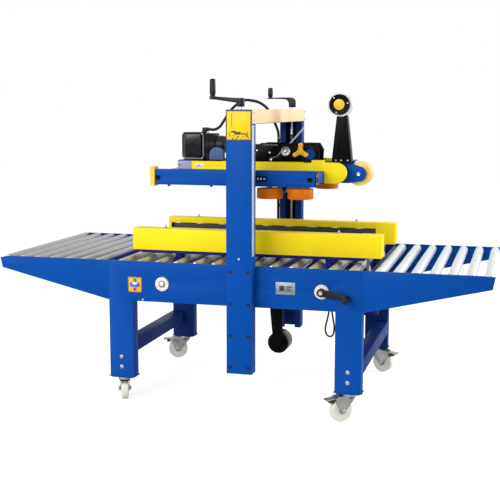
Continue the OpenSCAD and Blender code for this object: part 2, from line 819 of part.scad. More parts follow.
// The bar under a belt unit with the two legs that ride on the guide bars and the side screws.
module unit_frame() {
    y0 = -unit_y1 + 4;
    y1 = -unit_y0 - 6;
    block([-480, y0 + 2, unit_z - 14], [drive_x - 14, y1 - 2, unit_z]);
    leg_at = [-3.5 * bed_pitch, 4.5 * bed_pitch];
    difference() {
        for (k = [0, 1]) {
            block([leg_at[k] - 14, y0 + 8, side_z + 10], [leg_at[k] + 14, y1 - 8, unit_z - 10]);
            block([min(screw_x[k], guide_x[k]) - 22, y0, side_z - 20],
                [max(screw_x[k], guide_x[k]) + 22, y1, side_z + 20]);
        }
        for (x = screw_x) rod_y(x, side_z, screw_d / 2 + fit_gap, y0 - 1, y1 + 1);
        for (x = guide_x) rod_y(x, side_z, guide_d / 2 + fit_gap, y0 - 1, y1 + 1);
    }
    // motor plate and the motor under the drive pulley
    difference() {
        union() {
            block([guide_x[1], y0, side_z + 20], [drive_x + 44, y1, side_z + 28]);
            translate([drive_x, -belt_y, 430]) cylinder(r = 48, h = side_z + 20 - 430);
        }
        translate([drive_x, -belt_y, side_z]) cylinder(r = 10 + fit_gap, h = 40);
    }
}

module near_unit_frame() {
    color(navy) unit_frame();
}

module far_unit_frame() {
    color(navy) far_side() unit_frame();
}

// The yellow cover: top, outer side, lips over the belt slot and the closed infeed end.
module unit_cover() {
    slot_x1 = drive_x - pulley_d / 2;
    z1 = unit_z + unit_h;
    y1 = -unit_y0 - 4;
    difference() {
        union() {
            block([unit_x0, -unit_y1, unit_z], [unit_x1, y1, z1]);
            block([slot_x1, -unit_y1, unit_z], [unit_x1, -unit_y0 + 8, z1]);
        }
        block([unit_x0 + 2, -unit_y1 + 2, unit_z + 2], [slot_x1 + 2, y1 - 2, z1 - 2]);
        block([slot_x1 + 2, -unit_y1 + 2, unit_z + 2], [unit_x1 - 2, -unit_y0 + 6, z1 - 2]);
        block([unit_x0 + 14, y1 - 3, belt_z - 2], [slot_x1 + 3, y1 + 11, belt_z + belt_w + 2]);
        translate([drive_x, -belt_y, unit_z - 1]) cylinder(r = 13, h = 10);
    }
}

module near_unit_cover() {
    color(yellow) unit_cover();
}

module far_unit_cover() {
    color(yellow) far_side() unit_cover();
}

// A belt loop round the drive pulley and the idler, with the backing idlers between.
module belt_loop() {
    r = pulley_d / 2;
    difference() {
        union() {
            block([idler_x, -belt_y - r - belt_t, belt_z],
                [drive_x, -belt_y + r + belt_t, belt_z + belt_w]);
            for (x = [idler_x, drive_x]) translate([x, -belt_y, belt_z])
                cylinder(r = r + belt_t, h = belt_w);
        }
        block([idler_x, -belt_y - r, belt_z - 1], [drive_x, -belt_y + r, belt_z + belt_w + 1]);
        for (x = [idler_x, drive_x]) translate([x, -belt_y, belt_z - 1])
            cylinder(r = r, h = belt_w + 2);
    }
}

module belt() {
    color(black) belt_loop();
    pitch = (drive_x - idler_x) / 9;
    color(silver) for (k = [0:8]) translate([idler_x + k * pitch, -belt_y, 0]) {
        translate([0, 0, belt_z]) cylinder(r = pulley_d / 2 - 0.4, h = belt_w + 2);
        translate([0, 0, unit_z + 2]) cylinder(r = 6, h = unit_h - 4);
    }
}

module near_belt() {
    belt();
}

module far_belt() {
    far_side() belt();
}

module drive_pulley() {
    color(silver) translate([drive_x, -belt_y, 0]) {
        translate([0, 0, belt_z]) cylinder(r = pulley_d / 2 - 0.4, h = belt_w + 2);
        translate([0, 0, side_z + 21]) cylinder(r = 10, h = belt_z - side_z - 20);
    }
}

module near_drive_pulley() {
    drive_pulley();
}

module far_drive_pulley() {
    far_side() drive_pulley();
}

// ---- casters ----

module at_caster(k) {
    translate([caster_x[k], caster_y[k], 0]) rotate([0, 0, caster_turn[k]]) children();
}

module caster_fork(k) {
    axle_z = wheel_d / 2;
    color(silver) at_caster(k) {
        translate([0, 0, fork_top - 12]) cylinder(r = 27, h = 12);
        translate([0, 0, fork_top - 6]) cylinder(r = 8, h = 6 + 2 * plate_t);
        difference() {
            for (s = [-1, 1]) {
                plate_xz([[-24, fork_top - 4], [-24, fork_top - 14], [wheel_trail - 14, axle_z],
                    [wheel_trail + 14, axle_z], [pedal_x + 8, pedal_z - 8], [pedal_x + 8, pedal_z + 6],
                    [pedal_x - 6, fork_top - 4]], min(s * 20, s * 23), max(s * 20, s * 23));
                rod_y(wheel_trail, axle_z, 14, min(s * 20, s * 23), max(s * 20, s * 23));
            }
            rod_y(pedal_x, pedal_z, 4 + fit_gap, -30, 30);
        }
        block([-24, -23, fork_top - 7], [16, 23, fork_top - 4]);
        rod_y(wheel_trail, axle_z, 6, -26, 26);
    }
}

module caster_wheel(k) {
    color(white) at_caster(k) difference() {
        rod_y(wheel_trail, wheel_d / 2, wheel_d / 2, -wheel_w / 2, wheel_w / 2);
        rod_y(wheel_trail, wheel_d / 2, 6 + fit_gap, -30, 30);
    }
}

// The brake pedal, with its pad over the wheel.
module caster_pedal(k) {
    color(silver) at_caster(k) {
        plate_xz([[pedal_x - 8, pedal_z + 4], [pedal_x + 8, pedal_z + 4], [pedal_x + 46, pedal_z - 1],
            [pedal_x + 46, pedal_z + 4], [pedal_x + 8, pedal_z + 9], [pedal_x - 8, pedal_z + 9]],
            -17, 17);
        block([pedal_x - 4, -17, pedal_z - 2], [pedal_x + 4, 17, pedal_z + 6]);
        rod_y(pedal_x, pedal_z, 4, -25, 25);
    }
}

near_side_frame();
far_side_frame();
wing_panels();
cross_members();
near_column();
far_column();
crossbeam();
beam_cover();
frame_bolts();
panel_plates();
wing_rollers();
bed_rollers();
lower_tape_unit();
frame_wiring();
loop_lead();
head_conduit();
head_frame();
top_belt_units();
tape_cartridge();
drive_motor();
reel_mast();
infeed_bracket();
cartridge_arm();
width_knob();
tape_reel();
lower_tape_reel();
infeed_wheel();
near_press_roller_left();
near_press_roller_right();
far_press_roller_left();
far_press_roller_right();
near_lift_screw();
near_crank_grip();
far_lift_screw();
far_crank_grip();
side_crank();
side_crank_grip();
left_side_screw();
start_button();
stop_button();
near_unit_frame();
near_unit_cover();
near_belt();
near_drive_pulley();
far_unit_frame();
far_unit_cover();
far_belt();
far_drive_pulley();
caster_fork(0);  // caster_fork_1
caster_fork(1);  // caster_fork_2
caster_fork(2);  // caster_fork_3
caster_fork(3);  // caster_fork_4
caster_wheel(0);  // caster_wheel_1
caster_wheel(1);  // caster_wheel_2
caster_wheel(2);  // caster_wheel_3
caster_wheel(3);  // caster_wheel_4
caster_pedal(0);  // caster_pedal_1
caster_pedal(1);  // caster_pedal_2
caster_pedal(2);  // caster_pedal_3
caster_pedal(3);  // caster_pedal_4
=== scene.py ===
# %% [markdown]
# A carton sealer is mostly folded sheet steel, rollers and screws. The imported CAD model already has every
# frame, shaft and joint in its place, so this lesson dresses it: each CAD part gets a copy with rounded
# folds and a real finish, and the small things that make a machine believable are modelled round it.

# %% Load the frame
import json
import math

import bpy
from mathutils import Matrix, Vector


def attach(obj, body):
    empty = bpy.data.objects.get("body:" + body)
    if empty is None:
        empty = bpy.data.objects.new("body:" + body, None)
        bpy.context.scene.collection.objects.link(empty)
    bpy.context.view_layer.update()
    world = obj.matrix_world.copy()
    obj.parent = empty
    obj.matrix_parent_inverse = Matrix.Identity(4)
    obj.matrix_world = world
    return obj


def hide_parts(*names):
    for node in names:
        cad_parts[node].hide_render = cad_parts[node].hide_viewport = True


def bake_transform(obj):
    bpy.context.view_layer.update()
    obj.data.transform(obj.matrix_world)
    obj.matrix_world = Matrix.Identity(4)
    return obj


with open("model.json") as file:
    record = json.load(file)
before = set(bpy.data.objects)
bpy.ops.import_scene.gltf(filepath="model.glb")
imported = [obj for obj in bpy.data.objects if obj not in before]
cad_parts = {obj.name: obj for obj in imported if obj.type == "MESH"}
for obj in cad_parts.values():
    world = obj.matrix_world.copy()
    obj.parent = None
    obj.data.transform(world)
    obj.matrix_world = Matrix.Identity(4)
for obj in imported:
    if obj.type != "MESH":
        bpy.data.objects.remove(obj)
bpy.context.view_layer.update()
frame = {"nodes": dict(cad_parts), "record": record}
mm = 0.001
bodies = frame["record"]["behaviour"]["bodies"]
body_of = {node: body for body, nodes in bodies.items() for node in nodes}

# %% [markdown]
# The camera comes first. It stands in front and to the right of the machine, a little above the bed, and
# looks slightly down. A long lens keeps the two columns nearly parallel.

# %% Camera
bpy.ops.object.camera_add(location=(1.188, -4.450, 1.3185))
camera = bpy.context.object
camera.rotation_euler = (math.radians(90 - 8.19), 0, math.radians(15.41))
camera.data.lens = 70.8
camera.data.sensor_width = 36
camera.data.clip_end = 60
bpy.context.scene.camera = camera
bpy.context.scene.view_settings.view_transform = "Standard"

# %% [markdown]
# Soft studio light. The world is white to look at and to mirror, but gives matt surfaces only half as
# much, which keeps the paint's colour deep. A big panel over the operator's side lights the front, a small
# one past the outfeed end lifts the left half, and one beyond the infeed end whitens the rollers there.

# %% Floor and lights
bpy.ops.object.select_all(action="DESELECT")
bpy.ops.mesh.primitive_plane_add(size=30, location=(0, 0, -0.002))
floor = bpy.context.object
floor.name = "floor"

world = bpy.data.worlds.new("studio")
bpy.context.scene.world = world
world.use_nodes = True
sky, wires = world.node_tree.nodes, world.node_tree.links
seen_from = sky.new("ShaderNodeLightPath")
backdrop = sky.new("ShaderNodeBackground")
chooser = sky.new("ShaderNodeMixShader")
backdrop.inputs["Strength"].default_value = 1.0
backdrop.inputs["Color"].default_value = (1, 1, 1, 1)
sky["Background"].inputs["Color"].default_value = (1, 1, 1, 1)
sky["Background"].inputs["Strength"].default_value = 0.50
wires.new(seen_from.outputs["Is Diffuse Ray"], chooser.inputs["Fac"])
wires.new(backdrop.outputs["Background"], chooser.inputs[1])
wires.new(sky["Background"].outputs["Background"], chooser.inputs[2])
wires.new(chooser.outputs["Shader"], sky["World Output"].inputs["Surface"])


def light_panel(name, location, target, size, power):
    bpy.ops.object.light_add(type="AREA", location=location)
    lamp = bpy.context.object
    lamp.name = name
    lamp.data.shape = "RECTANGLE"
    lamp.data.size, lamp.data.size_y = size
    lamp.data.energy = power
    toward = Vector(target) - Vector(location)
    lamp.rotation_euler = toward.to_track_quat("-Z", "Y").to_euler()
    return lamp


light_panel("key_panel", (-1.2, -4.6, 2.6), (0, 0, 0.7), (3.2, 2.2), 150)
light_panel("outfeed_panel", (-3.4, -3.0, 0.9), (-0.8, -0.45, 0.55), (1.0, 1.6), 30)
light_panel("infeed_panel", (4.0, 1.2, 2.2), (0.8, 0, 0.7), (2.4, 2.4), 150)

# %% [markdown]
# Every finish is a small node tree on the Principled shader. Numbers that are the same all over go on the
# shader's own sockets; only what varies over the surface, such as a faint mottle in the colour or the
# orange peel of a powder coat, is a texture. All textures read Object coordinates, in metres.


def finish(name, slot, color, roughness=0.4, metallic=0.0, **extra):
    """A Principled material with its plain values set."""
    made = bpy.data.materials.new(name)
    made.use_nodes = True
    shader = made.node_tree.nodes["Principled BSDF"]
    shader.inputs["Base Color"].default_value = (*color, 1)
    shader.inputs["Roughness"].default_value = roughness
    shader.inputs["Metallic"].default_value = metallic
    for socket, value in extra.items():
        shader.inputs[socket.replace("_", " ")].default_value = value
    made.diffuse_color = (*color, 1)
    return made


def shader_of(made):
    return made.node_tree.nodes["Principled BSDF"]


def noise(made, scale, stretch=(1, 1, 1), detail=3.0):
    """A noise texture on Object coordinates; stretch makes it streaky along an axis."""
    nodes, links = made.node_tree.nodes, made.node_tree.links
    where = nodes.new("ShaderNodeTexCoord")
    mapping = nodes.new("ShaderNodeMapping")
    texture = nodes.new("ShaderNodeTexNoise")
    mapping.inputs["Scale"].default_value = stretch
    texture.inputs["Scale"].default_value = scale
    texture.inputs["Detail"].default_value = detail
    links.new(where.outputs["Object"], mapping.inputs["Vector"])
    links.new(mapping.outputs["Vector"], texture.inputs["Vector"])
    return texture.outputs["Fac"]


def ramp(made, value, stops):
    """A colour ramp over a value: stops are (position, colour)."""
    node = made.node_tree.nodes.new("ShaderNodeValToRGB")
    while len(node.color_ramp.elements) < len(stops):
        node.color_ramp.elements.new(0.5)
    for element, (position, color) in zip(node.color_ramp.elements, stops):
        element.position = position
        element.color = (*color, 1)
    made.node_tree.links.new(value, node.inputs["Fac"])
    return node.outputs["Color"]


def spread(made, value, low, high):
    """A value spread to a new range."""
    node = made.node_tree.nodes.new("ShaderNodeMapRange")
    node.inputs["From Min"].default_value = 0.3
    node.inputs["From Max"].default_value = 0.7
    node.inputs["To Min"].default_value = low
    node.inputs["To Max"].default_value = high
    made.node_tree.links.new(value, node.inputs["Value"])
    return node.outputs["Result"]


def tint(made, value, color, change=0.08):
    """Mottles the base colour a little lighter and darker."""
    dark = tuple(c * (1 - change) for c in color)
    light = tuple(min(1, c * (1 + change)) for c in color)
    mottled = ramp(made, value, [(0.35, dark), (0.65, light)])
    made.node_tree.links.new(mottled, shader_of(made).inputs["Base Color"])


def relief(made, value, depth, strength=1.0):
    """Bump from a value, depth in metres."""
    bump = made.node_tree.nodes.new("ShaderNodeBump")
    bump.inputs["Distance"].default_value = depth
    bump.inputs["Strength"].default_value = strength
    made.node_tree.links.new(value, bump.inputs["Height"])
    made.node_tree.links.new(bump.outputs["Normal"], shader_of(made).inputs["Normal"])


def roughen(made, value, low, high):
    made.node_tree.links.new(spread(made, value, low, high), shader_of(made).inputs["Roughness"])


def powder_coat(name, slot, color, roughness=0.38, change=0.05, gloss=0.05):
    """Sprayed and baked paint: a faint cloudiness, and orange peel a few millimetres wide."""
    made = finish(name, slot, color, roughness, Specular_IOR_Level=gloss)
    tint(made, noise(made, 2.5), color, change)
    relief(made, noise(made, 420, detail=1.0), 0.00006)
    roughen(made, noise(made, 9), roughness - 0.05, roughness + 0.07)
    return made


def plated(name, slot, color, roughness, stretch, scale=60, depth=0.00002, metal=1.0):
    """Plated or turned steel: fine lines the way the tool or the polish ran."""
    made = finish(name, slot, color, roughness, metal)
    lines = noise(made, scale, stretch, 2.0)
    tint(made, lines, color, 0.10)
    roughen(made, lines, roughness - 0.06, roughness + 0.10)
    relief(made, lines, depth)
    return made


def moulded(name, slot, color, roughness, grain=300, depth=0.00006, change=0.08, **extra):
    """Cast or moulded plastic and rubber: a slightly uneven colour and a fine pebbled skin."""
    made = finish(name, slot, color, roughness, **extra)
    tint(made, noise(made, 18), color, change)
    relief(made, noise(made, grain), depth)
    return made


# %% [markdown]
# The finishes. Blue, yellow and cream are powder coat on sheet steel; the head's plates are a semi-gloss
# black; the rollers are zinc-plated tube, brushed round; screws and shafts are bright turned steel; the
# press rollers are cast polyurethane, which lets a little light in.

# %% Finishes
blue_coat = powder_coat("blue_coat", "blue_paint", (0.001, 0.066, 0.34), gloss=0.06)
# The darker blue below is the same blue paint darkened: painted shade for the far column, the far side frame
# and the cross members, which stand in the machine's shade.
shaded_blue = powder_coat("shaded_blue", "blue_paint", (0.008, 0.034, 0.18), 0.42)
navy_coat = powder_coat("navy_coat", "navy_paint", (0.014, 0.018, 0.15), 0.42)
yellow_coat = powder_coat("yellow_coat", "yellow_paint", (1.0, 0.76, 0.016), 0.36)
cream_coat = powder_coat("cream_coat", "cream_paint", (0.86, 0.66, 0.40), 0.5)
black_coat = powder_coat("black_coat", "black_paint", (0.002, 0.002, 0.0025), 0.34, gloss=0.06)
slate_coat = powder_coat("slate_coat", "blue_paint", (0.10, 0.14, 0.33), 0.4)
# The pale lilac blue below is the same blue paint lightened: a painted sheen, for the head frame's motor end
# and the belt end plate.
painted_sheen_blue = powder_coat("painted_sheen_blue", "blue_paint", (0.36, 0.38, 0.55), 0.4)
roller_zinc = plated("roller_zinc", "roller_steel", (0.42, 0.42, 0.43), 0.30, (0.02, 6, 0.02), 60,
                     0.000006, 0.55)
# The paler zinc below is the roller zinc lightened: a painted reflection of the bright surroundings, for the
# rollers past the infeed end.
painted_reflection_zinc = plated("painted_reflection_zinc", "roller_steel", (0.70, 0.73, 0.77), 0.34, (0.02, 6, 0.02), 60,
                     0.000006, 0.6)
turned_steel = plated("turned_steel", "screw_steel", (0.60, 0.60, 0.58), 0.28, (0.05, 0.05, 14))
cross_steel = plated("cross_steel", "screw_steel", (0.58, 0.58, 0.57), 0.28, (0.05, 14, 0.05))
zinc = plated("zinc_plate", "zinc", (0.40, 0.40, 0.38), 0.36, (1, 1, 1), 25)
dark_steel = plated("dark_steel", "bolt_steel", (0.03, 0.03, 0.045), 0.35, (1, 1, 1), 200)
cap_black = moulded("cap_black", "bolt_steel", (0.006, 0.007, 0.018), 0.4, 500, 0.00004,
                    Specular_IOR_Level=0.3)
bright_bolt = plated("bright_bolt", "bolt_steel", (0.50, 0.51, 0.54), 0.25, (1, 1, 1), 200)
orange_cast = moulded("orange_cast", "orange_pu", (0.62, 0.15, 0.001), 0.4, 130, 0.00008, 0.12,
                      Subsurface_Weight=0.1, Subsurface_Scale=0.01, Specular_IOR_Level=0.12)
amber_cast = moulded("amber_cast", "orange_pu", (0.97, 0.60, 0.16), 0.30, 130, 0.00008, 0.10,
                     Subsurface_Weight=0.25, Subsurface_Scale=0.02)
knob_yellow = moulded("knob_yellow", "yellow_plastic", (1.0, 0.54, 0.015), 0.34,
                      Specular_IOR_Level=0.3)
grip_black = moulded("grip_black", "black_plastic", (0.006, 0.006, 0.007), 0.42, 500, 0.0001,
                     Specular_IOR_Level=0.25)
nylon = moulded("nylon_tread", "nylon", (0.78, 0.76, 0.68), 0.42, 150, 0.00008)
cream_nylon = moulded("cream_nylon", "nylon", (0.86, 0.72, 0.36), 0.45, 150, 0.00008)
belt_black = moulded("belt_black", "belt_rubber", (0.012, 0.012, 0.013), 0.62, 350, 0.0002)
belt_brown = moulded("belt_brown", "belt_rubber", (0.50, 0.16, 0.03), 0.55, 350, 0.00015)
cable_black = moulded("cable_black", "cable_rubber", (0.006, 0.006, 0.007), 0.5, 400, 0.0001,
                      Specular_IOR_Level=0.25)
tape_pale = moulded("tape_pale", "tape", (0.74, 0.72, 0.64), 0.22, 40, 0.00003, 0.14, Coat_Weight=0.3)
tape_dark = moulded("tape_dark", "tape", (0.06, 0.06, 0.06), 0.3, 40, 0.00005, 0.3)
# The clear film glows a little from its own emission: painted light that keeps it pale against the white
# backdrop.
tape_film = finish("tape_film", "tape", (0.95, 0.96, 1.0), 0.2, Alpha=0.22, Emission_Color=(1, 1, 1, 1),
                   Emission_Strength=0.4)
relief(tape_film, noise(tape_film, 12, (1, 6, 1)), 0.0003)
green_plastic = moulded("start_green", "green_plastic", (0.02, 0.32, 0.06), 0.3, 700, 0.00004)
red_plastic = moulded("stop_red", "red_plastic", (0.62, 0.012, 0.010), 0.3, 700, 0.00004)
gloss_black = moulded("gloss_black", "black_plastic", (0.006, 0.007, 0.011), 0.14, 40, 0.0005, 0.3,
                      Specular_IOR_Level=0.35)
plate_silver = plated("plate_silver", "plate_print", (0.27, 0.32, 0.38), 0.34, (14, 1, 0.05))
label_yellow = moulded("label_yellow", "plate_print", (0.80, 0.57, 0.001), 0.36, 12, 0.00002, 0.04,
                       Specular_IOR_Level=0.2)
amber_print = moulded("amber_print", "plate_print", (0.85, 0.42, 0.02), 0.4, 12, 0.00002, 0.05)
white_print = moulded("white_print", "plate_print", (0.88, 0.88, 0.88), 0.35, 60, 0.00002, 0.03)
ink_black = moulded("ink_black", "plate_print", (0.02, 0.018, 0.012), 0.5, 200, 0.00002)
ink_blue = moulded("ink_blue", "plate_print", (0.03, 0.12, 0.50), 0.4, 200, 0.00002)
scale_strip = moulded("scale_strip", "plate_print", (0.52, 0.56, 0.62), 0.35, 60, 0.00002, 0.1)
floor_white = finish("floor_white", "none", (0.62, 0.62, 0.62), 0.9, Specular_IOR_Level=0.0,
                     Emission_Color=(1, 1, 1, 1), Emission_Strength=0.72)
tint(floor_white, noise(floor_white, 0.4), (0.62, 0.62, 0.62), 0.01)
floor_nodes, floor_links = floor_white.node_tree.nodes, floor_white.node_tree.links
floor_ray, floor_glow = floor_nodes.new("ShaderNodeLightPath"), floor_nodes.new("ShaderNodeMapRange")
floor_glow.inputs["To Min"].default_value = 0.10
floor_glow.inputs["To Max"].default_value = 0.72
floor_links.new(floor_ray.outputs["Is Camera Ray"], floor_glow.inputs["Value"])
floor_links.new(floor_glow.outputs["Result"], shader_of(floor_white).inputs["Emission Strength"])
floor.data.materials.append(floor_white)

# %% [markdown]
# A corrugated conduit is a tube whose radius goes up and down along its length. The head's conduit leaves
# the motor's elbow, arches over the front crank and drops behind the beam into its clip on the far
# column. A curve through listed points gives the line; rings of vertices every millimetre and a half
# give the ribs.

# %% Cords
head_route = [(-240, 0, 1221), (-232, 0, 1221), (-218, 4, 1220), (-203, 9, 1224), (-186, 14, 1238),
              (-167, 20, 1268), (-145, 32, 1305), (-115, 46, 1338), (-80, 62, 1357), (-58, 100, 1356),
              (-37, 140, 1349), (-22, 185, 1335), (-13, 234, 1315), (-13, 290, 1288), (-13, 345, 1262),
              (-13, 400, 1233), (-13, 440, 1206), (-13, 453, 1186), (-13, 455, 1175), (-13, 455, 1170)]
loop_route = [(426, -426, 490), (426, -426, 482), (425, -426, 465), (419, -426, 435), (412, -426, 405),
              (411, -426, 385), (417, -426, 368), (430, -426, 360), (442, -426, 366), (448, -426, 384),
              (448, -426, 410), (443, -426, 440), (439, -426, 466), (438, -426, 482), (438, -426, 490)]


def smooth_line(route, step):
    """Points every step millimetres on a smooth curve through the route, in metres."""
    points = [Vector(p) for p in route]
    ends = [2 * points[0] - points[1]] + points + [2 * points[-1] - points[-2]]
    line = []
    for a, b, c, d in zip(ends, ends[1:], ends[2:], ends[3:]):
        count = max(1, round((c - b).length / step))
        for k in range(count):
            t = k / count
            line.append(0.5 * (2 * b + (c - a) * t + (2 * a - 5 * b + 4 * c - d) * t * t
                               + (3 * b - a - 3 * c + d) * t * t * t) * mm)
    return line + [points[-1] * mm]


def swept(name, line, radius, rib=0.0, sides=12):
    """A closed tube along the line; every second pair of rings is rib smaller."""
    across = Vector((0.3, 0.5, 0.8))
    points, faces = [], []
    for i, here in enumerate(line):
        along = (line[min(i + 1, len(line) - 1)] - line[max(i - 1, 0)]).normalized()
        across = (across - across.dot(along) * along).normalized()
        other = along.cross(across)
        r = radius - (rib if i % 4 > 1 else 0)
        for k in range(sides):
            turn = 2 * math.pi * k / sides
            points.append(here + r * (math.cos(turn) * across + math.sin(turn) * other))
    for i in range(len(line) - 1):
        for k in range(sides):
            j = (k + 1) % sides
            faces.append((i * sides + k, i * sides + j, (i + 1) * sides + j, (i + 1) * sides + k))
    faces.append(tuple(range(sides))[::-1])
    faces.append(tuple((len(line) - 1) * sides + k for k in range(sides)))
    mesh = bpy.data.meshes.new(name)
    mesh.from_pydata(points, [], faces)
    mesh.materials.append(cable_black)
    tube = bpy.data.objects.new(name, mesh)
    bpy.context.scene.collection.objects.link(tube)
    for face in mesh.polygons:
        face.use_smooth = len(face.vertices) == 4
    return tube


def line_length(line):
    return sum((b - a).length for a, b in zip(line, line[1:]))


head_line = smooth_line(head_route, 1.5)
conduit = swept("head_conduit_tube", head_line, 0.007, 0.0009)
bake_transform(conduit)
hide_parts("head_conduit")

loop_line = smooth_line(loop_route, 4)
loop = swept("loop_lead_tube", loop_line, 0.004)
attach(loop, "frame")
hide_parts("loop_lead")
print("conduit", round(line_length(head_line), 3), "m; loop", round(line_length(loop_line), 3), "m")

# %% [markdown]
# A CAD part is loose triangles with razor-sharp edges, and a real edge never is: sheet is folded round
# and machined parts are deburred. So each visible CAD part gets a refined copy. The copy's triangles are
# merged into whole faces, a bevel rounds what is sharp, and it rides on the same body in the CAD part's
# place. Where one CAD part holds several materials, a rule looks at each face and picks its finish.

# %% Refined copies of the CAD parts


def deselect():
    bpy.ops.object.select_all(action="DESELECT")


def only(piece):
    """Selects one object and makes it active, as a click on it does."""
    deselect()
    piece.select_set(True)
    bpy.context.view_layer.objects.active = piece


def apply_all(piece):
    only(piece)
    for modifier in list(piece.modifiers):
        bpy.ops.object.modifier_apply(modifier=modifier.name)


def soften(piece, width, segments=2):
    """Rounds every edge sharper than 40 degrees, then smooths the shading."""
    only(piece)
    if width:
        bevel = piece.modifiers.new("edge", "BEVEL")
        bevel.width = width * mm
        bevel.segments = segments
        bevel.limit_method = "ANGLE"
        bevel.angle_limit = math.radians(40)
        bevel.miter_outer = "MITER_ARC"
        apply_all(piece)
    bpy.ops.object.shade_smooth_by_angle(angle=math.radians(38))


def solid_boxes(mesh):
    """For each face, the lowest and highest corner of the separate solid that it belongs to."""
    leader = list(range(len(mesh.vertices)))

    def find(v):
        while leader[v] != v:
            leader[v] = leader[leader[v]]
            v = leader[v]
        return v

    for edge in mesh.edges:
        leader[find(edge.vertices[0])] = find(edge.vertices[1])
    boxes = {}
    for vertex in mesh.vertices:
        low, high = boxes.setdefault(find(vertex.index), (vertex.co.copy(), vertex.co.copy()))
        for axis in range(3):
            low[axis] = min(low[axis], vertex.co[axis])
            high[axis] = max(high[axis], vertex.co[axis])
    return [boxes[find(face.vertices[0])] for face in mesh.polygons]


def refined(node, materials, choose=None, width=0.7, segments=2):
    """A copy of a CAD node with rounded edges. choose(centre, size, low) picks a face's material."""
    piece = bpy.data.objects.new(node + "_skin", frame["nodes"][node].data.copy())
    bpy.context.scene.collection.objects.link(piece)
    only(piece)
    bpy.ops.object.mode_set(mode="EDIT")
    bpy.ops.mesh.select_all(action="SELECT")
    bpy.ops.mesh.remove_doubles(threshold=0.00001)
    bpy.ops.mesh.dissolve_limited(angle_limit=math.radians(0.6))
    bpy.ops.object.mode_set(mode="OBJECT")
    soften(piece, width, segments)
    piece.data.materials.clear()
    for each in materials:
        piece.data.materials.append(each)
    if choose:
        boxes = solid_boxes(piece.data)
        for face, (low, high) in zip(piece.data.polygons, boxes):
            face.material_index = choose(face.center, high - low, low)
    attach(piece, body_of[node])
    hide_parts(node)
    return piece


# %% [markdown]
# Parts of one finish come first: the blue frame in front, the same blue darkened as painted shade for what
# stands behind in the machine's shade, the navy unit frames, the yellow covers and the moulded grips.

# %% Parts of one finish
one_finish = [
    (blue_coat, ["near_side_frame", "wing_panels", "near_column", "crossbeam", "infeed_bracket"]),
    (shaded_blue, ["far_column", "far_side_frame"]),
    (navy_coat, ["near_unit_frame", "far_unit_frame"]),
    (yellow_coat, ["near_unit_cover", "far_unit_cover"]),
    (cream_coat, ["beam_cover"]),
    (black_coat, ["lower_tape_unit", "reel_mast"]),
    (cross_steel, ["left_side_screw"]),
    (turned_steel, ["near_drive_pulley", "far_drive_pulley"]),
    (grip_black, ["near_crank_grip", "far_crank_grip", "side_crank_grip"]),
    (green_plastic, ["start_button"]),
    (red_plastic, ["stop_button"]),
    (zinc, [f"caster_{part}_{number}" for part in ("fork", "pedal") for number in range(1, 5)]),
]
for material, nodes in one_finish:
    for node in nodes:
        refined(node, [material])
press_rollers = [f"{side}_press_roller_{end}" for side in ("near", "far") for end in ("left", "right")]
for node in press_rollers:
    refined(node, [orange_cast], width=2.0, segments=3)
refined("width_knob", [knob_yellow, turned_steel],
        lambda c, size, low: int(c.y > -0.0550), width=2.5, segments=3)
refined("infeed_wheel", [amber_cast], width=3.0, segments=3)
print("single finishes done")

# %% [markdown]
# Then the parts that hold several materials. Each rule is written with the machine's own sizes: a belt is
# the long solid among its idlers, a roller's tube is wider than its end caps, and so on.

# %% Parts of several finishes


def from_axis(c, x, z):
    return math.hypot(c.x - x, c.z - z)


def top_belt_rule(c, size, low):
    if min(from_axis(c, x, 1.019) for x in (-0.230, 0.386)) < 0.0350 and size.x < 0.2:
        return 2
    return 1 if size.x < 0.70 and size.z < 0.080 else 0


def reel_rule(c, size, low):
    if c.y > -0.0285:
        return 0
    return 1 if c.y > -0.0365 else 2


def head_rule(c, size, low):
    if c.z < 0.9828:
        return 2
    return int(c.x < -0.2835 and c.z > 1.0405 and abs(c.y) < 0.1345)


def plate_rule(c, size, low):
    if low.z > 1.1:
        return 0
    if low.x > 0.15 and size.x > 0.08:
        return 1
    if low.x < -0.40:
        return 2 if c.y < -0.4494 else 3
    return 2


tube_size = 0.0395
for side in ("near", "far"):
    refined(f"{side}_belt", [roller_zinc, belt_black], lambda c, size, low: int(size.x > 0.5))
    refined(f"{side}_lift_screw", [turned_steel, grip_black], lambda c, size, low: int(c.z > 1.3255))
# Tubes past the infeed end take the paler zinc, a painted reflection; the rest take the plain roller zinc.
for place in ("wing", "bed"):
    refined(f"{place}_rollers", [roller_zinc, belt_black, cross_steel, painted_reflection_zinc],
            lambda c, size, low: (3 if c.x > 0.6 else 0) if size.z > tube_size else 2, width=0.9)
# The cross members take the darkened blue, painted shade under the bed.
refined("cross_members", [shaded_blue, cross_steel],
        lambda c, size, low: int(abs(low.z + size.z / 2 - 0.554) < 0.003))
refined("top_belt_units", [yellow_coat, belt_brown, turned_steel], top_belt_rule)
refined("tape_reel", [tape_pale, black_coat, knob_yellow], reel_rule, width=1.2)
refined("lower_tape_reel", [tape_dark, black_coat], lambda c, size, low: int(c.y < -0.0535), width=2)
# The head frame's motor end takes the lightened lilac blue, a painted sheen.
refined("head_frame", [blue_coat, painted_sheen_blue, turned_steel], head_rule)
refined("panel_plates", [label_yellow, plate_silver, white_print, amber_print], plate_rule, width=0.4)
refined("side_crank", [grip_black, cross_steel], lambda c, size, low: int(c.y > -0.4490), width=2.0)
refined("tape_cartridge", [black_coat, roller_zinc],
        lambda c, size, low: int(size.x < 0.045 and low.x > 0.120 and size.z < 0.045))
refined("cartridge_arm", [black_coat, tape_dark],
        lambda c, size, low: int(from_axis(c, 0.128, 0.950) < 0.0205 and abs(c.y) < 0.0335))
refined("frame_wiring", [cable_black])
for number in range(1, 5):
    refined(f"caster_wheel_{number}", [nylon], width=5.0, segments=4)
print("several finishes done")

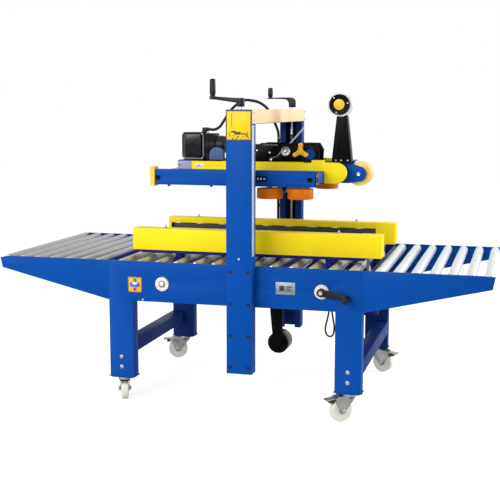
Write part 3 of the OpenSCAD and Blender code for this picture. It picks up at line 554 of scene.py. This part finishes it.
# %% [markdown]
# Each roller turns on bearings pressed in cream nylon caps. The cap's rim shows at both ends of a tube, so
# one pair of caps is set into every tube, at the place and size read from the tube's own box.

# %% Roller caps


def rim_cap(x, z, y, radius, toward):
    """A ring of nylon round a roller's end."""
    deselect()
    bpy.ops.mesh.primitive_cylinder_add(vertices=28, radius=radius, depth=0.004,
                                        location=(x, y + toward * 0.0012, z), rotation=(math.pi / 2, 0, 0))
    cap = bpy.context.object
    soften(cap, 1.0)
    cap.data.materials.append(cream_nylon)
    return cap


for place in ("wing", "bed"):
    tubes = {}
    for low, high in solid_boxes(frame["nodes"][f"{place}_rollers"].data):
        if high.z - low.z > tube_size:
            tubes[round(low.x, 4)] = (low, high)
    caps = []
    for low, high in tubes.values():
        middle = (low + high) / 2
        for y, toward in ((low.y, -1), (high.y, 1)):
            caps.append(rim_cap(middle.x, middle.z, y, (high.z - low.z) / 2 - 0.0012, toward))
    deselect()
    for cap in caps:
        cap.select_set(True)
    bpy.context.view_layer.objects.active = caps[0]
    bpy.ops.object.transform_apply(location=True, rotation=True, scale=True)
    bpy.ops.object.join()
    rims = bpy.context.object
    rims.name = f"{place}_roller_caps"
    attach(rims, "frame")

# %% [markdown]
# Now the modelling helpers for everything that the CAD parts don't show. Each one is a few steps done by
# hand: add a primitive at its size and place, select a face by its direction, inset it and sink or raise
# it, round the edges. Sizes are in millimetres in the machine's own frame. Every piece then rides on the
# body that carries it.

# %% Modelling helpers


def finished(name, material, body, width=0.4, segments=2):
    """Turns the active object into a finished piece on its body."""
    piece = bpy.context.object
    piece.name = name
    bpy.ops.object.transform_apply(location=True, rotation=True, scale=True)
    bpy.ops.object.mode_set(mode="EDIT")
    bpy.ops.mesh.select_all(action="SELECT")
    bpy.ops.mesh.normals_make_consistent(inside=False)
    bpy.ops.object.mode_set(mode="OBJECT")
    soften(piece, width, segments)
    piece.data.materials.clear()
    piece.data.materials.append(material)
    return settled(piece, body)


def settled(piece, body):
    if body:
        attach(piece, body)
    return piece


def press_face(piece, toward, margin, depth):
    """Insets the faces that look toward a direction, and pushes them out (+) or in (-) by depth."""
    bpy.ops.object.transform_apply(location=True, rotation=True, scale=True)
    bpy.ops.object.mode_set(mode="EDIT")
    bpy.ops.mesh.select_mode(type="FACE")
    bpy.ops.mesh.select_all(action="DESELECT")
    bpy.ops.object.mode_set(mode="OBJECT")
    best = max(face.area for face in piece.data.polygons if face.normal.dot(toward) > 0.9)
    for face in piece.data.polygons:
        face.select = face.normal.dot(toward) > 0.9 and face.area > best * 0.9
    bpy.ops.object.mode_set(mode="EDIT")
    bpy.ops.mesh.inset(thickness=margin * mm, depth=depth * mm)
    bpy.ops.object.mode_set(mode="OBJECT")


def plate(name, low, high, material, body, corner=0, press=None, width=0.4, segments=2):
    """A box or plate between two corners; corner rounds its four edges along its thinnest side."""
    low, high = Vector(low), Vector(high)
    deselect()
    bpy.ops.mesh.primitive_cube_add(size=1, location=(low + high) / 2 * mm, scale=(high - low) * mm)
    piece = bpy.context.object
    if corner:
        size = high - low
        thin = min(range(3), key=lambda axis: size[axis])
        bpy.ops.object.transform_apply(location=True, rotation=True, scale=True)
        bpy.ops.object.mode_set(mode="EDIT")
        bpy.ops.mesh.select_mode(type="EDGE")
        bpy.ops.mesh.select_all(action="DESELECT")
        bpy.ops.object.mode_set(mode="OBJECT")
        for edge in piece.data.edges:
            a, b = (piece.data.vertices[v].co for v in edge.vertices)
            edge.select = abs((b - a).normalized()[thin]) > 0.9
        bpy.ops.object.mode_set(mode="EDIT")
        bpy.ops.mesh.bevel(offset=corner * mm, segments=5)
        bpy.ops.object.mode_set(mode="OBJECT")
    if press:
        press_face(piece, *press)
    return finished(name, material, body, width, segments)


def turned(name, start, end, radius, material, body, press=None, width=0.5, segments=2, sides=40):
    """A turned piece from start to end; press insets and shifts its end face."""
    start, end = Vector(start), Vector(end)
    along = end - start
    deselect()
    bpy.ops.mesh.primitive_cylinder_add(
        vertices=sides, radius=radius * mm, depth=along.length * mm, location=(start + end) / 2 * mm,
        rotation=along.to_track_quat("Z", "Y").to_euler())
    piece = bpy.context.object
    if press:
        press_face(piece, along.normalized(), *press)
    return finished(name, material, body, width, segments)


def hoop(name, centre, along, radius, wire, material, body, sides=48):
    """A ring of round wire, flattened a little so that it lies like a bead or a printed line."""
    deselect()
    bpy.ops.mesh.primitive_torus_add(
        major_radius=radius * mm, minor_radius=wire * mm, major_segments=sides, minor_segments=8,
        location=Vector(centre) * mm, rotation=Vector(along).to_track_quat("Z", "Y").to_euler())
    bpy.ops.transform.resize(value=(1, 1, 0.8), orient_type="LOCAL")
    return finished(name, material, body, 0)


def cut_plate(name, outline, y0, y1, material, body, width=0.5):
    """Sheet metal cut to an outline of (x, z) points, with its faces at y0 and y1."""
    deselect()
    bpy.ops.mesh.primitive_circle_add(vertices=len(outline), radius=mm, fill_type="NGON")
    piece = bpy.context.object
    for vertex, (x, z) in zip(piece.data.vertices, outline):
        vertex.co = (x * mm, y0 * mm, z * mm)
    bpy.ops.object.mode_set(mode="EDIT")
    bpy.ops.mesh.select_all(action="SELECT")
    bpy.ops.mesh.extrude_region_move(TRANSFORM_OT_translate={"value": (0, (y1 - y0) * mm, 0)})
    bpy.ops.object.mode_set(mode="OBJECT")
    return finished(name, material, body, width)


def copied(piece, name, shift=(0, 0, 0), body=None, matrix=None):
    """A copy with its own mesh, shifted in millimetres or put in place by a matrix."""
    twin = bpy.data.objects.new(name, piece.data.copy())
    bpy.context.scene.collection.objects.link(twin)
    twin.data.transform(matrix or Matrix.Translation(Vector(shift) * mm))
    return settled(twin, body)


def mirrored(piece, name, body):
    """A copy on the other side of the machine."""
    twin = copied(piece, name, matrix=Matrix.Scale(-1, 4, (0, 1, 0)))
    twin.data.flip_normals()
    return settled(twin, body)


def joined(pieces, name, body):
    """Several finished solids made one object, each still a separate solid."""
    deselect()
    for piece in pieces:
        piece.select_set(True)
    bpy.context.view_layer.objects.active = pieces[0]
    bpy.ops.object.join()
    made = bpy.context.object
    made.name = name
    return settled(made, body)


# %% [markdown]
# Screws and bolts. A cap screw is a short cylinder with a sunk socket; a dome bolt has a big round edge.
# One of each is modelled and copied to every place, and the copies stand for the CAD part's plain discs.

# %% Screws and bolts
edge_y, column_y, column_x = 446, 509, 53
dial_z, left_dial_x, right_dial_x = 554, -317, 397
reel_x, reel_z = 388, 1336
guide_x, guide_z = 148, 1125
cap_screw = turned("cap_screw", (0, 0, 0), (0, -3.2, 0), 7.5, cap_black, None, (3.6, -1.4), 0.9, 3)
dome_bolt = turned("dome_bolt", (0, 0, 0), (0, -5.5, 0), 9.5, bright_bolt, None, (5, 0.4), 2.4, 4)
small_bolt = turned("small_bolt", (0, 0, 0), (0, -2.8, 0), 5, bright_bolt, None, (2.6, -0.8), 0.8, 3)

near_caps = [copied(cap_screw, "cap", (column_x + x, -column_y, z))
             for x in (-40, 40) for z in (218, 355, 492, 630)]
far_caps = [mirrored(cap, "cap", None) for cap in near_caps]
column_screws = joined(near_caps + far_caps, "column_cap_screws", "frame")
near_domes = [copied(dome_bolt, "dome", (x, -edge_y, z)) for x in (-513, 513) for z in (168, 214)]
near_domes.append(copied(small_bolt, "dome", (column_x, -column_y, 690)))
far_domes = [mirrored(dome, "dome", None) for dome in near_domes]
panel_screw = copied(small_bolt, "dome", (-408, -edge_y, 481))
leg_bolts = joined(near_domes + far_domes + [panel_screw], "leg_bolts", "frame")
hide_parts("frame_bolts")
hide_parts("frame_bolts")
beam_screw = turned("beam_screw", (115, -492, 1268), (117, -492, 1268), 4, zinc, None, (1.8, -0.6))
joined([copied(beam_screw, "s", (0, y, z)) for y in (0, 984) for z in (0, 34)], "beam_cover_screws", "frame")
for helper in (cap_screw, dome_bolt, small_bolt, beam_screw):
    bpy.data.objects.remove(helper)
print("screws placed")

# %% [markdown]
# The printed plates. The column carries a yellow picture plate with a black border, a warning triangle
# and a little drawing; the panel has a rating plate with a raised rim, and two round scale plates with
# rings and ticks. The print stands a fraction of a millimetre proud, as thick ink does, and shows only
# generic marks.

# %% Printed plates


def ink(marks, y, proud, material, name, body="frame"):
    """Printed bars, each given by its lowest and highest x and z, on a plate whose face is at y."""
    bars = [plate("bar", (x0, y - proud, z0), (x1, y + 0.2, z1), material, None, width=0.1)
            for x0, z0, x1, z1 in marks]
    return joined(bars, name, body)


def border(x0, z0, x1, z1, line):
    return [(x0, z0, x0 + line, z1), (x1 - line, z0, x1, z1), (x0 + line, z0, x1 - line, z0 + line),
            (x0 + line, z1 - line, x1 - line, z1)]


label_face, print_height = -510, 0.35
column_line = [(22, 1243 + 5.6 * k, 25, 1246.6 + 5.6 * k) for k in range(10)]
drawing = [(18, 1219, 62, 1223), (34, 1211, 58, 1219), (56, 1212, 84, 1217), (82, 1208, 92, 1213),
           (12, 1207, 20, 1210), (28, 1204, 36, 1208), (48, 1199, 54, 1206), (68, 1203, 76, 1206),
           (88, 1216, 93, 1222), (14, 1199, 17, 1203), (62, 1193, 65, 1199), (78, 1194, 82, 1198),
           (22, 1223, 40, 1227), (84, 1203, 95, 1207), (40, 1194, 47, 1199), (92, 1195, 97, 1201),
           (10, 1213, 16, 1218), (24, 1193, 32, 1197)]
ink(border(-1.8, 1187.2, 107.8, 1310.8, 4) + column_line + drawing, label_face, print_height, ink_black,
    "picture_plate_print")
ink([(55.5, 1250 + 6 * k, 57.5, 1253.5 + 6 * k) for k in range(4)], label_face, print_height, amber_print,
    "picture_plate_faint_print")
turned("warning_triangle", (57, -509.8, 1281), (57, -510.4, 1281), 7.5, amber_print, "frame",
       (2.0, -0.3), 0.1, 1, sides=3)

ink(border(199.5, 536.5, 281.5, 586.5, 2.2), -447.5, 0.8, plate_silver, "rating_plate_rim")
ink([(214, 550, 236, 573), (243, 566, 268, 571), (243, 558, 262, 562), (243, 550, 268, 554)], -447.5,
    print_height, ink_black, "rating_plate_print")
rivet = turned("rivet", (0, 0, 0), (0, -1.6, 0), 2.2, bright_bolt, None, (1.2, 0.2), 0.6, 3, sides=16)
joined([copied(rivet, "r", (x, -447.5, z)) for x in (205, 276) for z in (541, 561.5, 582)],
       "rating_plate_rivets", "frame")

for name, x in (("left", left_dial_x), ("right", right_dial_x)):
    hoop(f"{name}_scale_edge", (x, -449.1, dial_z), (0, 1, 0), 31.8, 1.1, ink_black, "frame")
    hoop(f"{name}_scale_ring", (x, -449.1, dial_z), (0, 1, 0), 14, 2.0, ink_black, "frame")
    ticks = []
    for k in range(24):
        tick = plate("tick", (-0.8, -449.3, 24 if k % 2 else 20), (0.8, -448.8, 28), ink_black, None, width=0)
        around = Matrix.Translation((x * mm, 0, dial_z * mm)) @ Matrix.Rotation(math.radians(15 * k), 4, "Y")
        tick.data.transform(around)
        ticks.append(tick)
    joined(ticks, f"{name}_scale_ticks", "frame")
turned("left_screw_centre", (left_dial_x, -453.8, dial_z), (left_dial_x, -455.2, dial_z), 6, white_print,
       "left_side_screw", (3.4, -0.8))
ink([(-300, 541, -296, 544)], -449, print_height, amber_print, "left_scale_mark")

ink(border(-475.5, 513, -413.5, 579, 2.0), -449, 0.5, ink_black, "switch_plate_border")
hoop("switch_start_collar", (-444.5, -449.3, 566), (0, 1, 0), 8.5, 1.6, zinc, "frame")
hoop("switch_stop_collar", (-444.5, -449.3, 526), (0, 1, 0), 8.5, 1.6, zinc, "frame")
cut_plate("switch_guard", [(-470, 548), (-462, 536), (-427, 536), (-419, 548), (-428, 558), (-436, 548),
                           (-453, 548), (-461, 558)], -452.5, -449, ink_blue, "frame")
print("plates printed")

# %% [markdown]
# The height scale is a pale strip on the near column's infeed side, with a tick every ten millimetres.
# The rail below the tape head has a name plate and a yellow end cap.

# %% Height scale, name plate and end caps
plate("height_scale", (109, -506, 700), (109.8, -472, 1250), scale_strip, "frame", width=0.2)
tick_count, tick_pitch = 54, 10
joined([plate("tick", (109.5, -490 if k % 5 else -496, 710 + tick_pitch * k),
              (110.0, -476, 711.5 + tick_pitch * k), ink_black, None, width=0)
        for k in range(tick_count)], "height_scale_ticks", "frame")
plate("name_plate", (62, -331.4, 1004), (130, -330, 1029), dark_steel, "head", 8,
      (Vector((0, -1, 0)), 2.0, -0.5))
ink([(70, 1012, 78, 1021), (84, 1012, 92, 1021), (98, 1012, 106, 1021), (112, 1014, 121, 1019)], -331.0, 0.5,
    white_print, "name_plate_print", "head")
end_cap = plate("near_rail_end_cap", (-408, -337, 976), (-388, -286, 1062), knob_yellow, "head", 0,
                (Vector((0, -1, 0)), 3.5, -2.0), 1.2, 3)
mirrored(end_cap, "far_rail_end_cap", "head")
rail_foot = turned("rail_foot", (-329, -310, 984), (-329, -310, 976), 6, dark_steel, "head", (2.5, 1))
copied(rail_foot, "rail_foot_right", (198, 0, 0), "head")
# Each rail end gets an end plate coloured black as painted shade, for the shadow at the rail's end.
shaded_rail_end = plate("near_rail_end_plate_shade_black", (341, -329, 986), (344, -291, 1048), black_coat, "head", 0,
                  (Vector((1, 0, 0)), 6, -1.0))
mirrored(shaded_rail_end, "far_rail_end_plate_shade_black", "head")
rail_plug = plate("near_rail_plug", (307, -332, 1004), (327, -330, 1024), black_coat, "head", 3,
                  (Vector((0, -1, 0)), 3, -0.8))
copied(rail_plug, "near_rail_plug_left", (-690, 0, 0), "head")
rail_bolt = turned("rail_end_bolt", (344, -318, 1032), (348, -318, 1032), 5, bright_bolt, "head", (2.4, -1))
copied(rail_bolt, "rail_end_bolt_low", (0, 0, -34), "head")

# %% [markdown]
# The drive motor stands on its plate at the outfeed end: a gearbox with rounded corners and a glossy lid,
# a ribbed motor with its fan cover behind, the cable's gland and elbow on top, and a blue arch that
# guards the chain.

# %% Drive motor
gearbox = plate("gearbox", (-357, -50, 1083), (-248, 50, 1209), gloss_black, "head", 14,
                (Vector((0, -1, 0)), 4, -2), 2.0, 3)
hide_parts("drive_motor")
plate("motor_plate", (-347, -131, 1079), (-150, 131, 1083), black_coat, "head", 10)
plate("gearbox_lid", (-348, -55, 1093), (-262, -48, 1201), gloss_black, "head", 8,
      (Vector((0, -1, 0)), 5, 1.5), 1.5, 3)
lid_screw = turned("lid_screw", (-352, -47.5, 1090), (-352, -51, 1090), 3, zinc, "head", (1.4, -0.8),
                   0.4, 2, 20)
for k, shift in enumerate([(0, 0, 112), (94, 0, 0), (94, 0, 112)]):
    copied(lid_screw, f"lid_screw_{k}", shift, "head")
turned("motor_body", (-250, 0, 1148), (-198, 0, 1148), 46, grip_black, "head", (4, 1), 2, 3)
for k in range(7):
    plate(f"motor_fin_{k}", (-244 + 6.5 * k, -49, 1087), (-241.5 + 6.5 * k, 49, 1203), grip_black, "head", 10)
plate("motor_base", (-246, -44, 1083), (-202, 44, 1106), grip_black, "head", 4)
turned("fan_cover", (-198, 0, 1150), (-160, 0, 1150), 42, grip_black, "head", (9, -2), 6, 4, 56)
for radius in (30, 24, 18):
    hoop(f"fan_grille_{radius}", (-161.5, 0, 1150), (1, 0, 0), radius, 1.3, dark_steel, "head")
turned("cable_gland", (-262, 0, 1206), (-262, 0, 1216), 12, grip_black, "head", (2, 1), 1, 2, 12)
turned("gland_nut", (-262, 0, 1215), (-262, 0, 1228), 10, grip_black, "head", (2, 1), 1.5, 3)
turned("elbow", (-266, 0, 1221), (-241, 0, 1221), 9.5, grip_black, "head", (1.5, -1), 2, 3)
hoop("elbow_collar", (-243, 0, 1221), (1, 0, 0), 9, 1.4, grip_black, "head")
arch = [(-210, 1083), (-142, 1083)] + [
    (-176 + 34 * math.cos(math.radians(a)), 1107 + 34 * math.sin(math.radians(a))) for a in range(0, 181, 12)]
cut_plate("chain_guard", arch, -88, -62, slate_coat, "head", 2.0)
# The belt end plate takes the lightened lilac blue, a painted sheen.
plate("belt_end_plate", (-349, -134.9, 1043), (-284, -133.8, 1079), painted_sheen_blue, "head", 2)
turned("belt_end_bolt", (-340, -134.5, 1061), (-340, -137, 1061), 3.5, cap_black, "head", (1.4, -0.6))
plate("belt_cover_sticker", (-262, -131.7, 1050), (-226, -130.9, 1067), white_print, "head", 2)
ink([(-258, 1058, -240, 1061), (-258, 1053, -232, 1055)], -131.7, 0.3, ink_black, "belt_cover_sticker_print",
    "head")
print("motor done")

# %% [markdown]
# The tape cartridge. Its plates hold spacers whose ends show as silver dots, a spring along the top, a
# black brake lever and the guide roller's silver cap. A clear film of tape runs up from the guide roller
# to the reel, on the line that touches both circles.

# %% Tape cartridge and film
spacer_end = turned("spacer_end", (0, -54.6, 0), (0, -57.2, 0), 4.2, bright_bolt, None, (2, -0.6))
spacer_places = [(-100, 1039), (-100, 1129), (10, 1039), (10, 1129), (250, 1036), (270, 1119), (70, 1119),
                 (-60, 1085), (190, 1060)]
near_ends = [copied(spacer_end, "e", (x, 0, z)) for x, z in spacer_places]
far_ends = [mirrored(each, "e", None) for each in near_ends]
joined(near_ends + far_ends, "cartridge_spacer_ends", "head")
bpy.data.objects.remove(spacer_end)
joined([hoop("coil", (40 + 4 * k, -57.5, 1152), (1, 0, 0), 4, 0.9, bright_bolt, None, 16) for k in range(18)],
       "cartridge_spring", "head")
cut_plate("brake_lever", [(138, 1143), (158, 1133), (120, 1084), (74, 1079), (64, 1090), (106, 1104)],
          -60, -56.5, gloss_black, "head", 1.0)
turned("lever_pivot", (78, -60, 1089), (78, -63, 1089), 5.5, bright_bolt, "head", (2.6, -1))
guide_cap = turned("guide_roller_cap", (guide_x, -56, guide_z), (guide_x, -70, guide_z), 21, roller_zinc,
                   "head", (5, -3), 1.5, 3)
turned("guide_roller_nut", (guide_x, -66, guide_z), (guide_x, -73, guide_z), 8, bright_bolt, "head", (3, 1),
       0.8, 2, 6)
mirrored(guide_cap, "guide_roller_cap_far", "head")
turned("blue_wheel", (259, -56, 1112), (259, -61, 1112), 24, blue_coat, "head", (6, -1.5), 1.2, 3)

guide, guide_r = Vector((guide_x, guide_z)), 19.4
reel, reel_r = Vector((reel_x, reel_z)), 55.3
apart = reel - guide
lean = math.atan2(apart.y, apart.x) + math.asin((guide_r - reel_r) / apart.length) + math.pi / 2
outward = Vector((math.cos(lean), math.sin(lean)))
film_start, film_end = guide + guide_r * outward, reel + reel_r * outward
cut_plate("tape_film", [film_start, film_end, film_end + 0.3 * outward, film_start + 0.3 * outward],
          -25, 25, tape_film, "head", 0)

# %% [markdown]
# The reel and its mast. Three cream pins hold the roll against its black disc, a ring is pressed in the
# orange hub, and the mast shows two pressed ribs and three bolts in its foot.

# %% Reel and mast
pin = turned("reel_pin", (0, -36, 0), (0, -41, 0), 3.4, nylon, None, (1.4, 0.8), 1.0, 3, 24)
for k, turn in enumerate((130, 10, 250)):
    side, up = 38 * math.cos(math.radians(turn)), 38 * math.sin(math.radians(turn))
    copied(pin, f"reel_pin_{k}", (reel_x + side, 0, reel_z + up), "tape_reel")
bpy.data.objects.remove(pin)
turned("lower_reel_hub", (113, -53, 226), (113, -58, 226), 5.5, bright_bolt, "lower_tape_reel", (2.4, -1))
hoop("hub_ring", (reel_x, -46, reel_z), (0, 1, 0), 17, 0.9, knob_yellow, "tape_reel")
turned("roll_outside", (reel_x, 27, reel_z), (reel_x, -27, reel_z), 55, tape_pale, "tape_reel", (5, -1.5),
       1.2, 3, 72)
turned("roll_flange", (reel_x, -28, reel_z), (reel_x, -38, reel_z), 46.5, black_coat, "tape_reel", (4, -0.8),
       1.2, 3, 72)
for name, outline in (("left", [(391, 1277), (394, 1277), (389, 1110), (384, 1110)]),
                      ("right", [(414, 1277), (417, 1277), (433, 1110), (428, 1110)])):
    cut_plate(f"mast_rib_{name}", outline, -30, -27.5, black_coat, "head", 0.9)
mast_bolt = turned("mast_bolt", (376, -44, 1082), (376, -44, 1089), 5, bright_bolt, "head", (2, 0.5),
                   0.8, 2, 6)
copied(mast_bolt, "mast_bolt_middle", (24, 0, 0), "head")
copied(mast_bolt, "mast_bolt_right", (54, 0, 0), "head")
wheel_nut = turned("infeed_nut", (484, -60, 1027), (484, -67, 1027), 9, bright_bolt, "head", (3.2, -1),
                   0.8, 2, 6)
mirrored(wheel_nut, "infeed_nut_far", "head")
print("head dressed")

# %% [markdown]
# Small hardware: knobs on the belt covers, a cap and a rivet on the side crank, clamp screws and grip rings
# on the lift cranks, and a rim on each press roller.

# %% Knobs, caps and clamp screws
cover_knob = turned("cover_knob", (0, 0, 776), (0, 0, 790), 5, zinc, None, (2, 1), 1.0, 3)
for name, x, y in (("near_left", -372, -240), ("near_right", 430, -240), ("far_left", -372, 240),
                   ("far_right", 430, 240)):
    copied(cover_knob, f"{name}_cover_knob", (x, y, 0), name.split("_")[0] + "_unit")
bpy.data.objects.remove(cover_knob)
turned("side_crank_cap", (right_dial_x, -473.5, dial_z), (right_dial_x, -477, dial_z), 9, bright_bolt,
       "side_crank", (4, -1.2))
arm_length, arm_droop = 115, math.radians(10)
tip = Vector((right_dial_x + arm_length * math.cos(arm_droop), 0, dial_z - arm_length * math.sin(arm_droop)))
turned("side_grip_rivet", tip + Vector((0, -533.6, 0)), tip + Vector((0, -536, 0)), 5, dark_steel,
       "side_crank_grip", (2, -0.6))
for name, y, reach, rise in (("near", -477.5, 122, 56), ("far", 477.5, 115, 60)):
    turned(f"{name}_crank_clamp", (column_x, y - 15, 1338), (column_x, y - 18.5, 1338), 4, cap_black,
           f"{name}_lift_screw", (1.8, -1))
    hoop(f"{name}_grip_ring", (column_x - reach, y, 1314 + rise + 3), (0, 0, 1), 10.5, 1.2, dark_steel,
         f"{name}_crank_grip")
for name, x, y in (("near_press_roller_left", 133, -300), ("near_press_roller_right", 271, -300),
                   ("far_press_roller_left", 133, 300), ("far_press_roller_right", 271, 300)):
    hoop(f"{name}_rim", (x, y, 975), (0, 0, 1), 46, 1.4, orange_cast, name)

# %% [markdown]
# The casters. Each fork gets the raceway ring of its swivel bearing, a nut on its kingpin and nuts
# on the wheel's axle; each wheel a hub and a tread ring; each pedal a rubber-tipped foot pad. They are
# modelled once about the swivel axis and turned into place.

# %% Casters
raceway = [turned("race", (0, 0, 104.8), (0, 0, 98), 25, dark_steel, None, (3, 0.5), 1.4, 3)]
raceway.append(turned("kingpin_nut", (0, 0, 98), (0, 0, 91), 8, bright_bolt, None, (3, 0.5), 0.8, 2, 6))
for side in (-1, 1):
    raceway.append(turned("axle_nut", (38, side * 22.5, 50), (38, side * 28.5, 50), 9, bright_bolt, None,
                          (3.4, 1.2), 0.8, 2, 6))
    raceway.append(turned("pedal_rivet", (68, side * 22.5, 99), (68, side * 26.5, 99), 5.5, zinc, None,
                          (2, -0.8)))
hub = []
for side in (-1, 1):
    hub.append(turned("hub", (38, side * 15.5, 50), (38, side * 18.6, 50), 17, zinc, None, (5, -1.2), 0.8))
    hub.append(hoop("tread_line", (38, side * 15.6, 50), (0, 1, 0), 38, 1.2, nylon, None))
pad = plate("pedal_pad", (84, -17.5, 101.5), (115, 17.5, 105.5), zinc, None, 5, (Vector((0, 0, 1)), 4, 1.0),
            0.8)
ridge = [copied(pad, "pad")]
ridge.append(plate("brake_pad", (78, -13, 86), (98, 13, 98.5), ink_black, None, 3, width=1))
for k in range(4):
    ridge.append(plate("ridge", (88 + 7 * k, -14, 105), (90.5 + 7 * k, 14, 107.2), zinc, None, width=0.6))
leg_x, leg_y = 513, 418.5
caster_places = [(-leg_x, -leg_y, 113), (leg_x, -leg_y, 222), (-leg_x, leg_y, 200), (leg_x, leg_y, -20)]
for number, (x, y, turn) in enumerate(caster_places, 1):
    place = Matrix.Translation((x * mm, y * mm, 0)) @ Matrix.Rotation(math.radians(turn), 4, "Z")
    for group, part in ((raceway, "fork"), (hub, "wheel"), (ridge, "pedal")):
        copies = [copied(each, "c", matrix=place) for each in group]
        joined(copies, f"caster_{part}_details_{number}", f"caster_{part}_{number}")
for helper in raceway + hub + ridge + [pad, rivet]:
    bpy.data.objects.remove(helper)
print("casters done")
